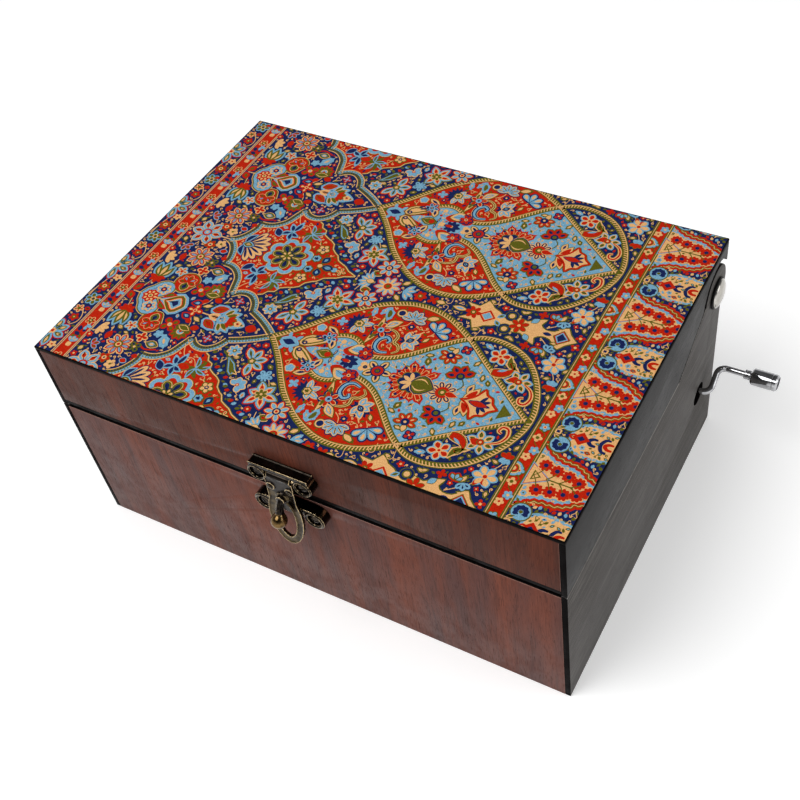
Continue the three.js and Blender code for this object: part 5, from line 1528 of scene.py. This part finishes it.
        for x, half, inks in ((95.2, 2.5, "n1.2"), (96.6, 1.1, "r1.2"), (91.4, 1.3, "n1.3")):
            half_arc = ((x + 2.6, -half), (x + 1, -half * 0.9))
            arc = (*half_arc, (x, 0), (x + 1, half * 0.9), (x + 2.6, half))
            self.brush(smooth(arc), inks, TILE)
        for x, v, turn in ((93.4, 0, 0), (93.6, 3, 40), (87.4, 3.9, 80), (90.4, 4.6, 10), (95.6, 3.9, -30),
                (98, 4.2, 20)):
            for way in (1, -1):
                self.put(leaf(1.7, 1, "o b-.3" if x > 93 else "b n-.3"), x, way * v, way * turn, repeat=TILE)
        for way in (1, -1):
            self.put(horn, 83.9, way * 4.5, 0, repeat=TILE, flip=way < 0)
            self.put(leaf(3, 1.3, "c.1 o-.25", 0.5, 0.9), 80.6, way * 1.4, way * 28, repeat=TILE)
            for i, x in enumerate((86.4, 88.2, 90.2, 92.2, 94.2, 96.4, 98.2)):
                bud = leaf(1.5, 1.1, "cbor"[i % 4], 0.5, 0.8)
                self.put(bud, x, way * (7.2 + 0.1 * i), way * (40 + 30 * (i % 3)), repeat=TILE)
        self.sow(HALF_TILE, False, (flower(5, 1.7, 1.2, "o.3 b", "c.6 r.3"), 77, 0.2),
            (flower(4, 1.5, 1.1, "c.15", "o.6"), 76.6, 4.8), (flower(5, 1.6, 1.1, "b.1", "c.5"), 77.8, 9.8),
            (flower(5, 1.5, 1, "c.1", "r.4"), 76.4, 12.8))
        self.sow(TILE, False, (star, 99.2, mid), (nest(triangle, "b1 r.4 c o-2.2 c-3"), 80.4, mid, 0, 6),
            (nest([(-2.6, 0), (0, -2.4), (2.6, 0), (0, 2.4)], "r.2 n-1.3"), 88.9, 0, 0, 11),
            (leaf(3, 2.2, "r.1 c-.6", 0.5, 0.8), 85, 0), (disc(1.2, "o.2 c n-.5", 4, 0.2), 81.4, 0))

    def filler(self, ink: Ink, rng: random.Random, r: float) -> Motif:
        """A small leaf, bud, flower or forked tendril of radius r that suits a ground."""
        pick = rng.random()
        pale = "o" if ink is CREAM else "c"
        first, second, third = {NAVY: "orb", RED: "onb", BLUE: "oro", CREAM: "obr"}[ink]
        if r < 1 and pick < (0.95 if ink is BLUE else 0.6):
            return shifted(nest(curl(r * 1.3, rng.uniform(0.8, 1.1), 1, 0.42), pale), -r * 0.5)
        if r < 1:
            return shifted(leaf(r * 2.1, r * 1.2, first if pick < 0.9 else second, 0.45), -r)
        if pick < (0.7 if ink is BLUE else 0.38):
            out = shifted(leaf(r, r * 0.6, first), -r * 0.8, 0, rng.choice((38, -38)))
            for side, long in ((-1, 1), (1, 0.8)):
                path = ((-r, 0), (-r * 0.2, side * r * 0.12), (r * 0.5 * long, side * r * 0.62),
                    (r * 0.95 * long, side * r * 0.5), (r * 0.78 * long, side * r * 0.18))
                out += nest(stroke(smooth(path, steps=2), 0.36, 0.7, 0.5), pale, 1)
            return out
        if pick < 0.75:
            return flower(rng.choice((4, 5, 6)), r, r * 0.72, second, f"{pale}{r * 0.3:.2f}")
        inks = f"{first} {pale}{-r * 0.44:.2f}"
        if pick < 0.88:
            inks = f"{third} {pale}{-r * 0.28:.2f} {second}{-r * 0.5:.2f}"
        return shifted(leaf(r * 2.1, r * 1.3, inks, 0.5, teeth=0.12 * r), -r)

    def fill(self) -> None:
        """Fills what is still bare with small motifs, the large ones first."""
        rng = random.Random(self.seed)
        zones = ((BOTH, -85.6, 73.4, 0.5, self.mirror - 0.5, 5200),
            (TILE, -98.6, -93.2, 0.5, self.mirror - 0.5, 400), (TILE, 80.8, 98.6, -9, 27, 1500))
        for radius in (1.75, 1.35, 1, 0.75, 0.55):
            for repeat, left, right, low, high, tries in zones:
                for _ in range(int(tries * (1.2 if radius < 1 else 0.4))):
                    x, v = rng.uniform(left, right), rng.uniform(low, high)
                    if not self.press.free(x, v, radius + 0.25):
                        continue
                    ink = self.press.ground_at(x, v)
                    round_it = ((radius, 0), (-radius, 0), (0, radius), (0, -radius))
                    if any(self.press.ground_at(x + a, v + b) is not ink for a, b in round_it):
                        continue
                    turn = rng.uniform(0, 360)
                    motif = self.filler(ink, rng, radius)
                    self.put(motif, x, v, turn, repeat=repeat, flip=rng.random() < 0.5, up=8)
                    self.press.cover(moved(ring(radius, steps=8), x, v))

    def draw(self) -> None:
        """Draws the whole pattern."""
        self.cartouche()
        self.medallion()
        self.frame()
        self.left_border()
        self.right_border()
        self.ogee_flowers()
        self.diamond_flowers()
        self.segment_flowers()
        self.left_field()
        self.frame_palmette()
        self.field_flowers()
        self.fill()


def slot_of(node: str) -> Slot:
    """The material slot that the record gives a CAD node."""
    for part in frame["record"]["subparts"]:
        if part["node"] == node:
            return Slot(part["material_slot"])
    raise KeyError(node)


def body_of(node: str) -> Body:
    """The body that a CAD node belongs to."""
    for body, nodes in frame["record"]["behaviour"]["bodies"].items():
        if node in nodes:
            return Body(body)
    raise KeyError(node)


def fit(obj: Obj, body: Body, finish: Finish, stands_for: Sequence[str] = ()) -> None:
    """Dresses a finished piece and ties it to the frame.

    Args:
        obj: The piece, at the origin.
        body: The CAD body that carries it.
        finish: The finish it gets.
        stands_for: The CAD nodes that it replaces.
    """
    finish.dress(obj)
    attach(obj, body.value)
    if stands_for:
        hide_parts(*stands_for)
    LOG.info("%s rides on %s, %d faces", obj.name, body.value, len(obj.data.polygons))


def refine(node: str, width: float, finish: Finish | None = None) -> Obj:
    """Replaces a CAD node by a copy whose edges are eased.

    Args:
        node: The CAD node.
        width: The width of the eased edges in millimetres.
        finish: Its finish, or none for its slot's own.

    Returns:
        The new piece.
    """
    obj = copy_of(node, node + "_eased")
    ease_edges(obj, width)
    slot = slot_of(node)
    fit(obj, body_of(node), finish or FINISHES[slot], [node])
    return obj


@dataclass
class Studio:
    """The pale floor, the soft lamps and the camera at the photograph's angle."""

    floor_half: float = 2600.0
    camera_place: Place = (179.89, -235.24, 362.53)
    camera_turn: Place = (41.209, 5.099, 27.552)
    lens: float = 51.66
    shift: Point = (-0.075, 0.00625)
    sky: float = 0.46
    paper_glow: float = 0.26
    lamps: tuple[tuple[str, Place, Place, float, float], ...] = (
        ("key", (-260.0, -420.0, 900.0), (0.0, 0.0, 40.0), 620.0, 5.4),
        ("side", (900.0, 100.0, 500.0), (60.0, 0.0, 50.0), 700.0, 2.2),
    )

    def floor(self) -> None:
        """A plain pale floor that keeps the shadow."""
        deselect_all()
        bpy.ops.mesh.primitive_plane_add(size=2 * self.floor_half * MM, location=(0, 0, -0.0001))
        obj = bpy.context.object
        obj.name = "studio_floor"
        seat(obj)
        made = bpy.data.materials.new("studio_paper")
        made.use_nodes = True
        g = Graph(made.node_tree)
        path = g.add("LightPath").outputs
        mirrored_paper = g.math("MAXIMUM", path["Is Glossy Ray"], path["Is Transmission Ray"])
        seen = g.math("MAXIMUM", path["Is Camera Ray"], mirrored_paper)
        g.feed(made.node_tree.nodes["Principled BSDF"], {
            "Base Color": (0.95,) * 3, "Roughness": 0.9, "Specular IOR Level": 0.0,
            "Emission Color": (1.0,) * 3, "Emission Strength": g.times(seen, self.paper_glow)})
        obj.data.materials.append(made)

    def light(self) -> None:
        """A soft sky that the camera sees as white, and the lamps."""
        world = bpy.data.worlds.new("studio_sky")
        bpy.context.scene.world = world
        world.use_nodes = True
        g = Graph(world.node_tree)
        path = g.add("LightPath").outputs
        height = g.add("SeparateXYZ", {0: g.add("TexCoord").outputs["Generated"]}).outputs[2]
        mirrored_sky = g.times(path["Is Glossy Ray"], g.ramp(height, 0.08, 0.55, 0.95, 0.12))
        seen = g.math("MAXIMUM", path["Is Camera Ray"], mirrored_sky)
        shed = g.times(g.math("SUBTRACT", 1.0, path["Is Glossy Ray"]), self.sky)
        strength = g.math("MAXIMUM", seen, shed)
        g.feed(world.node_tree.nodes["Background"], {"Color": (1.0,) * 3, "Strength": strength})
        for name, place, aim, size, power in self.lamps:
            lamp = bpy.data.lights.new("lamp_" + name, "AREA")
            lamp.shape = "DISK"
            lamp.size = size * MM
            lamp.energy = power
            obj = new_object(lamp.name, lamp)
            obj.location = Vector(place) * MM
            obj.rotation_euler = (Vector(aim) - Vector(place)).to_track_quat("-Z", "Y").to_euler()

    def camera(self) -> None:
        """The camera that was solved from the box's corners in the photograph."""
        lens = bpy.data.cameras.new("photo_camera")
        lens.lens = self.lens
        lens.sensor_width = 36.0
        lens.shift_x, lens.shift_y = self.shift
        obj = new_object("photo_camera", lens)
        obj.location = Vector(self.camera_place) * MM
        obj.rotation_euler = [math.radians(a) for a in self.camera_turn]
        bpy.context.scene.camera = obj

    def build(self) -> None:
        """Sets the whole studio up."""
        bpy.context.scene.view_settings.view_transform = "Standard"
        self.floor()
        self.light()
        self.camera()
        LOG.info("studio is set up")


@dataclass
class Case:
    """The wooden body: floor, front and back panels, sides with their hinge ears, and the partition."""

    ease: float = 0.35
    hole_centre: Point = (50.0, 31.2)
    hole_radius: float = 4.7
    seam: float = 64.0
    ear_front: float = 48.0

    def in_hole(self, centre: Vector) -> bool:
        """If a face's centre is on the wall of the crank's hole."""
        y, z = self.hole_centre
        return math.hypot(centre.y - y, centre.z - z) < self.hole_radius + 0.1

    def build(self) -> None:
        """Builds every board of the body, with black edges at the front corners and on the ears above the
        seam, painted highlights on the eased edges, and painted shade on the front's top face in the seam and
        on the wall of the crank's hole.
        """
        for node in ("body_side_left", "body_side_right"):
            side = refine(node, self.ease, LACQUER_SIDE)
            # Painted highlight on the eased top edges in front of the ear.
            paint(side, LACQUER_EDGE_HIGHLIGHT, lambda c, n: n.z > 0.2 and 0.2 < abs(n.x) < 0.98 and c.y < self.ear_front)
            # Black front edges and ear tops; painted shade on the wall of the crank's hole.
            paint(side, BLACK_EDGE_AND_SHADE, lambda c, n: n.y < -0.3 or abs(n.x) < 0.6 and (
                self.in_hole(c) or c.z > self.seam and c.y > self.ear_front))
        front = refine("body_front_panel", self.ease, VENEER_BODY)
        # Painted highlight on the eased edges; painted shade on the top face, which lies in the seam; the end
        # faces are black.
        paint(front, VENEER_EDGE_HIGHLIGHT, lambda c, n: n.y < -0.2 and (n.z > 0.2 or abs(n.x) > 0.2))
        paint(front, BLACK_EDGE_AND_SHADE, lambda c, n: n.z > 0.97 or abs(n.x) > 0.9)
        refine("body_back_panel", self.ease, LACQUER_BACK)
        refine("body_floor", self.ease)
        refine("partition_board", self.ease)


@dataclass
class Lid:
    """The hinged lid: front and side boards, top board, back rail and the two pivot pins."""

    ease: float = 0.3
    pivot: Point = (59.5, 75.5)
    head_place: float = 100.9
    head_radius: float = 5.5
    head_height: float = 1.9
    shank_radius: float = 2.0
    shank_length: float = 10.4
    seam_shade_strip: float = 1.7

    def pin(self, side: str, way: int) -> None:
        """A domed pivot pin.

        Args:
            side: left or right.
            way: The side's direction along X.
        """
        low, mid, top = self.head_height * 0.25, self.head_height * 0.7, self.head_height
        profile = [(-self.shank_length, 0.0), (-self.shank_length, self.shank_radius - 0.5),
                   (-self.shank_length + 0.5, self.shank_radius), (0.0, self.shank_radius),
                   (0.0, self.head_radius - 0.2),
                   (0.12, self.head_radius), (low, self.head_radius), (low + 0.3, self.head_radius - 0.2),
                   (mid, self.head_radius * 0.78), (top - 0.1, self.head_radius * 0.42), (top, 0.0)]
        centre = (way * self.head_place, *self.pivot)
        obj = turned(f"pivot_stud_{side}", profile, centre, Vector((way, 0, 0)), 64)
        fit(obj, Body.LID, NICKEL, [f"pivot_pin_{side}"])

    def build(self) -> None:
        """Builds every board of the lid, and its pins and washers."""
        for node in ("lid_side_left", "lid_side_right"):
            paint(refine(node, self.ease, LACQUER_LID), BLACK_EDGE_AND_SHADE, lambda c, n: n.y < -0.3)
        front = refine("lid_front_panel", self.ease, VENEER_LID)
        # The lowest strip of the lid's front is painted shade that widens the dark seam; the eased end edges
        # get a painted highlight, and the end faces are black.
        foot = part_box("lid_front_panel")[0].z / MM + self.seam_shade_strip
        with editing(front):
            bpy.ops.mesh.select_all(action="SELECT")
            bpy.ops.mesh.bisect(plane_co=(0, 0, foot * MM), plane_no=(0, 0, 1), use_fill=False)
        paint(front, VENEER_EDGE_HIGHLIGHT, lambda c, n: n.y < -0.2 and abs(n.x) > 0.2)
        paint(front, BLACK_EDGE_AND_SHADE, lambda c, n: c.z < foot or abs(n.x) > 0.9)
        paint(refine("lid_top_board", self.ease), BLACK_EDGE_AND_SHADE, lambda c, n: n.y > 0.5)
        refine("lid_back_rail", self.ease, LACQUER_BACK)
        for side, way in (("left", -1), ("right", 1)):
            self.pin(side, way)
            refine(f"pivot_washer_{side}", 0.12)


@dataclass
class PrintedPanel:
    """The thin board on the lid: black edges, a navy ground and one thin raised piece for each ink."""

    ink_top: float = 92.49
    pitch: float = 0.0125
    levels: int = 16
    edge: float = 0.5
    film: float = 0.21
    ease: float = 0.25

    @property
    def ground_top(self) -> float:
        """The height of the board's face, below all inks."""
        return self.ink_top - self.levels * self.pitch

    def board(self) -> None:
        """The board, with its black edge round the navy face."""
        low, high = (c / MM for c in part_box("lid_print_panel"))
        obj = block("print_board", low, (high.x, high.y, self.ground_top))
        with editing(obj):
            pick_faces(obj, lambda c, n: n.z > 0.9)
            bpy.ops.mesh.inset(thickness=self.edge * MM, depth=0)
        ease_edges(obj, self.ease)
        fit(obj, Body.LID, BLACK_EDGE_AND_SHADE, ["lid_print_panel"])
        obj.data.materials.append(INKS[NAVY].material())
        inner = high - Vector((self.edge, self.edge, 0))
        with editing(obj):
            pick_faces(obj, lambda c, n: n.z > 0.9 and abs(c.x) < inner.x - 1 and abs(c.y) < inner.y - 1)
            obj.active_material_index = 1
            bpy.ops.object.material_slot_assign()

    def ink_piece(self, ink: Ink, half: str, shapes: Sequence[tuple[int, Outline]], press: Press) -> None:
        """Makes one ink's shapes on one half of the lid a single piece.

        Args:
            ink: The ink.
            half: The half's name.
            shapes: Each shape's level and outline in millimetres.
            press: The press, which knows the trimmed edges.
        """
        points: list[Place] = []
        faces: list[list[int]] = []
        share = self.pitch / 14
        for number, (level, outline) in enumerate(shapes):
            start = len(points)
            floor = self.ground_top + level * self.pitch
            height = (floor + (number % 12 + list(Ink).index(ink) / 6) * share) * MM
            way_round = outline if doubled_area(outline) > 0 else outline[::-1]
            points.extend((x * MM, y * MM, height) for x, y in way_round)
            faces.append(list(range(start, len(points))))
        name = f"print_{ink.value}_{half}"
        data = bpy.data.meshes.new(name)
        data.from_pydata(points, [], faces)
        obj = new_object(name, data)
        for place, way in (((press.left, 0, 0), (-1, 0, 0)), ((press.right, 0, 0), (1, 0, 0)),
                           ((0, press.front, 0), (0, -1, 0)), ((0, press.back, 0), (0, 1, 0))):
            with editing(obj):
                bpy.ops.mesh.select_all(action="SELECT")
                bpy.ops.mesh.bisect(plane_co=metres(place), plane_no=way, use_fill=False, clear_outer=True)
        uv = data.uv_layers.new(name="OFBake")
        wide, deep = press.right - press.left, press.back - press.front
        for loop in data.loops:
            x, y, _ = data.vertices[loop.vertex_index].co / MM
            uv.data[loop.index].uv = ((x - press.left) / wide, (y - press.front) / deep)
        modify(obj, "SOLIDIFY", thickness=self.film * MM, offset=-1.0)
        fit(obj, Body.LID, INKS[ink])

    def build(self) -> None:
        """Draws the pattern and prints every ink."""
        self.board()
        pattern = Termeh()
        pattern.draw()
        for ink, shapes in pattern.press.sheets.items():
            for half, left in (("left", True), ("right", False)):
                own = [shape for shape in shapes if (shape[1][0][0] < 0) is left]
                self.ink_piece(ink, half, own, pattern.press)


@dataclass
class Latch:
    """The cast latch: two plates on the boards, a hasp on its pin, its ball lever and four screws."""

    middle: float = 0.4
    face: float = -74.0
    skin: float = 0.17
    line: float = 0.34
    lid_lugs: Point = (8.9, 73.6)
    body_lugs: Point = (9.9, 57.0)
    lid_ring: float = 3.15
    body_ring: float = 3.35
    lid_top: float = 78.0
    body_top: float = 61.2
    dark_above: float = 67.6
    lever_pivot: Place = (0.4, -75.3, 65.9)
    ball: Place = (0.4, -79.5, 58.7)
    slot_turns: tuple[float, ...] = (0.5, -0.25, 0.9, 0.1)

    def casting(self, node: str, finish: Metal, *details: Obj) -> Obj:
        """Melts a CAD casting and its raised details into one piece that replaces it."""
        obj = joined(copy_of(node, node + "_cast"), *details)
        melt(obj, self.skin)
        fit(obj, body_of(node), finish, [node])
        return obj

    def rings(self, lugs: Point, radius: float) -> list[Obj]:
        """The raised rings round the two screws of a plate."""
        out = []
        for way in (-1, 1):
            centre = (self.middle + way * lugs[0], self.face, lugs[1])
            out.append(hoop(centre, radius, self.line))
            out.append(hoop((centre[0], self.face + 0.9, centre[2]), 2.75, 0.22))
        return out

    def rib(self, half: float, y: float, z: float) -> Obj:
        """A raised line along X."""
        profile = [(-half, 0.0), (-half + 0.1, self.line), (half - 0.1, self.line), (half, 0.0)]
        return turned("rib", profile, (self.middle, y, z), Axis.X, 12)

    def hasp_details(self) -> list[Obj]:
        """The seat of the lever, the beads on the hasp's shoulders and the line across its top."""
        x, y, z = self.lever_pivot
        seat_profile = [(-0.5, 0.0), (-0.5, 2.5), (0.35, 2.45), (0.6, 2.1), (0.7, 0.0)]
        out = [turned("lever_seat", seat_profile, (x, y + 0.4, z), Vector((0, -1, 0)), 32)]
        for way in (-1, 1):
            bead = [(-0.4, 0.0), (-0.4, 1.05), (0.1, 1.0), (0.5, 0.7), (0.7, 0.0)]
            out.append(turned("bead", bead, (x + way * 3.7, y + 0.35, z + 4.3), Vector((0, -1, 0)), 24))
            out.append(hoop((x + way * 3.7, y + 0.4, z + 4.3), 1.5, 0.24))
        return out

    def sink(self, node: str, name: str, rim: float, depth: float) -> Obj:
        """A copy of a casting whose front faces are sunk inside a rim."""
        obj = copy_of(node, name)
        with editing(obj):
            pick_faces(obj, lambda c, n: n.y < -0.97)
            bpy.ops.mesh.inset(thickness=rim * MM, depth=-depth * MM)
        return obj

    def hasp(self) -> None:
        """The hasp: a sunk face between two rims, with its details."""
        obj = joined(self.sink("latch_hasp", "hasp_cast", 0.75, 0.4), *self.hasp_details())
        melt(obj, self.skin)
        fit(obj, Body.HASP, HASP_BRONZE, ["latch_hasp"])
        paint(obj, BRONZE, lambda c, n: c.z > self.dark_above)

    def lever(self) -> None:
        """The lever, whose neck widens into its ball."""
        pivot, ball = Vector(self.lever_pivot), Vector(self.ball)
        long = (ball - pivot).length
        profile = [(0.6, 0.0), (0.6, 1.25), (long * 0.4, 1.0), (long * 0.62, 1.4), (long * 0.8, 2.3),
            (long, 2.6), (long + 0.5, 0.0)]
        neck = turned("neck", profile, self.lever_pivot, ball - pivot, 24)
        lever = self.casting("latch_ball_lever", RUBBED_BRONZE, neck)
        paint(lever, BRONZE, lambda c, n: (c - ball).dot(pivot - ball) > 2.9 * long)

    def screw(self, node: str, centre: Place, turn: float) -> None:
        """A domed wood screw with a slot."""
        profile = [(0.0, 0.0), (-0.8, 0.5), (-1.6, 1.0), (-5.7, 1.0), (-5.7, 2.2), (-5.95, 2.2), (-6.4, 1.9),
                   (-6.8, 1.2), (-7.0, 0.0)]
        obj = turned(node + "_turned", profile, centre, Axis.Y, 32)
        slot = block("slot", (-3.0, -0.5, -0.3), (3.0, 0.5, 0.3))
        slot.rotation_euler = (0, turn, 0)
        slot.location = metres((centre[0], self.face, centre[2]))
        cut_away(obj, slot)
        fit(obj, body_of(node), DARK_BRONZE, [node])

    def build(self) -> None:
        """Builds every casting and screw."""
        ribs = [self.rib(11.6, y, self.lid_top - 0.1) for y in (self.face + 0.2, -70.5)]
        self.casting("latch_lid_plate", BRONZE, *self.rings(self.lid_lugs, self.lid_ring), *ribs)
        ribs = (self.rib(9.0, self.face + 0.25, self.body_top - 0.1),)
        self.casting("latch_body_plate", BRONZE, *self.rings(self.body_lugs, self.body_ring), *ribs)
        self.hasp()
        self.lever()
        refine("latch_hinge_pin", 0.2)
        turns = iter(self.slot_turns)
        for board, (out, z) in (("lid", self.lid_lugs), ("body", self.body_lugs)):
            for side, way in (("left", -1), ("right", 1)):
                self.screw(f"latch_screw_{board}_{side}", (self.middle + way * out, -67.0, z), next(turns))


@dataclass
class Crank:
    """The bent wire crank with its ferrule and its knob."""

    axis: Point = (50.0, 33.3)
    start: float = 61.9
    arm: float = 104.3
    throw: float = 11.0
    angle: float = 30.0
    bend: float = 3.1
    wire_radius: float = 1.25
    ferrule: Point = (114.2, 116.5)
    knob: Point = (116.8, 127.0)
    knob_radius: float = 3.3
    bore: float = 1.55
    head: Point = (125.5, 126.5)

    @property
    def grip(self) -> Point:
        """Where the knob's axis is, in Y and Z."""
        turn = math.radians(self.angle)
        return self.axis[0] + self.throw * math.cos(turn), self.axis[1] + self.throw * math.sin(turn)

    def path(self) -> list[Place]:
        """The middle line of the wire with its two bends."""
        (near_y, near_z), (far_y, far_z) = self.axis, self.grip
        along, up = Vector((1, 0, 0)), Vector((0, far_y - near_y, far_z - near_z)).normalized()
        low, high = Vector((self.arm, *self.axis)), Vector((self.arm, *self.grip))
        out = [Vector((self.start, *self.axis))]
        for corner, come, go in ((low, along, up), (high, up, along)):
            centre = corner + (go - come) * self.bend
            for step in range(11):
                t = math.pi / 2 * step / 10
                out.append(centre + (come * math.sin(t) - go * math.cos(t)) * self.bend)
        return [tuple(p) for p in out + [Vector((self.head[0] + 0.1, *self.grip))]]

    def build(self) -> None:
        """Builds the wire, the ferrule and the knob."""
        rod = wire("crank_rod", self.path(), self.wire_radius)
        tall = self.head[1] - self.head[0]
        cap = [(0.0, 0.0), (0.0, 1.9), (0.2, 2.1), (tall - 0.4, 2.1), (tall - 0.1, 1.5), (tall, 0.0)]
        rod = joined(rod, turned("rivet", cap, (self.head[0], *self.grip), Axis.X, 32))
        fit(rod, Body.CRANK, CHROME, ["crank_wire"])
        long = self.ferrule[1] - self.ferrule[0]
        sleeve = [(0.0, 1.3), (0.0, 1.75), (0.2, 1.95), (0.8, 1.95), (0.95, 1.8), (1.3, 1.8), (1.45, 1.95),
                  (long - 0.2, 1.95), (long, 1.75), (long, 1.3), (0.0, 1.3)]
        obj = turned("crank_sleeve", sleeve, (self.ferrule[0], *self.grip), Axis.X)
        fit(obj, Body.CRANK, CHROME, ["crank_ferrule"])
        long, r = self.knob[1] - self.knob[0], self.knob_radius
        barrel = [(0.0, self.bore), (0.0, r - 0.75), (0.15, r - 0.55), (0.65, r - 0.05), (0.8, r),
            (long - 2.3, r), (long - 2.15, r - 0.16), (long - 1.85, r - 0.16), (long - 1.7, r),
            (long - 0.75, r), (long - 0.15, r - 0.5), (long, r - 0.7), (long - 0.1, r - 0.85),
            (long - 1.6, r - 0.9), (long - 1.6, self.bore), (0.0, self.bore)]
        obj = turned("crank_barrel", barrel, (self.knob[0], *self.grip), Axis.X, 64)
        fit(obj, Body.KNOB, CHROME, ["crank_knob"])


@dataclass
class Movement:
    """The comb movement beside the partition: block, bedplate, comb, drum, gear and worm."""

    slot_width: float = 0.7
    slot_depth: float = 0.6

    def screw(self, node: str, turn: float) -> None:
        """A machine screw of the frame with a slot cut into its head, turned by some degrees."""
        obj = copy_of(node, node + "_slotted")
        low, high = (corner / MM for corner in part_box(node))
        half = self.slot_width / 2
        slot = block("slot", (-4.0, -half, -self.slot_depth), (4.0, half, self.slot_depth))
        slot.rotation_euler = (0, 0, math.radians(turn))
        slot.location = metres(((low.x + high.x) / 2, (low.y + high.y) / 2, high.z))
        cut_away(obj, slot)
        ease_edges(obj, 0.1)
        fit(obj, Body.CASE, STEEL, [node])

    def build(self) -> None:
        """Builds every piece of the movement."""
        refine("mounting_block", 0.4)
        refine("bedplate", 0.35)
        refine("comb", 0.06)
        refine("comb_clamp", 0.2)
        for node, turn in (("bedplate_screw_1", 20.0), ("bedplate_screw_2", -50.0),
                ("bedplate_screw_3", 75.0), ("comb_screw_1", 10.0), ("comb_screw_2", -35.0)):
            self.screw(node, turn)
        for node in ("drive_worm", "shaft_collar", "cylinder_gear", "cylinder_drum", "cylinder_arbor",
                "arbor_clip"):
            refine(node, 0.06)


def main() -> None:
    """Builds the studio and the sub-assemblies in order."""
    logging.basicConfig(level=logging.INFO, format="%(message)s")
    Studio().build()
    for assembly in (Case(), Lid(), PrintedPanel(), Latch(), Crank(), Movement()):
        assembly.build()
        LOG.info("%s is built", type(assembly).__name__)


if __name__ == "__main__":
    main()
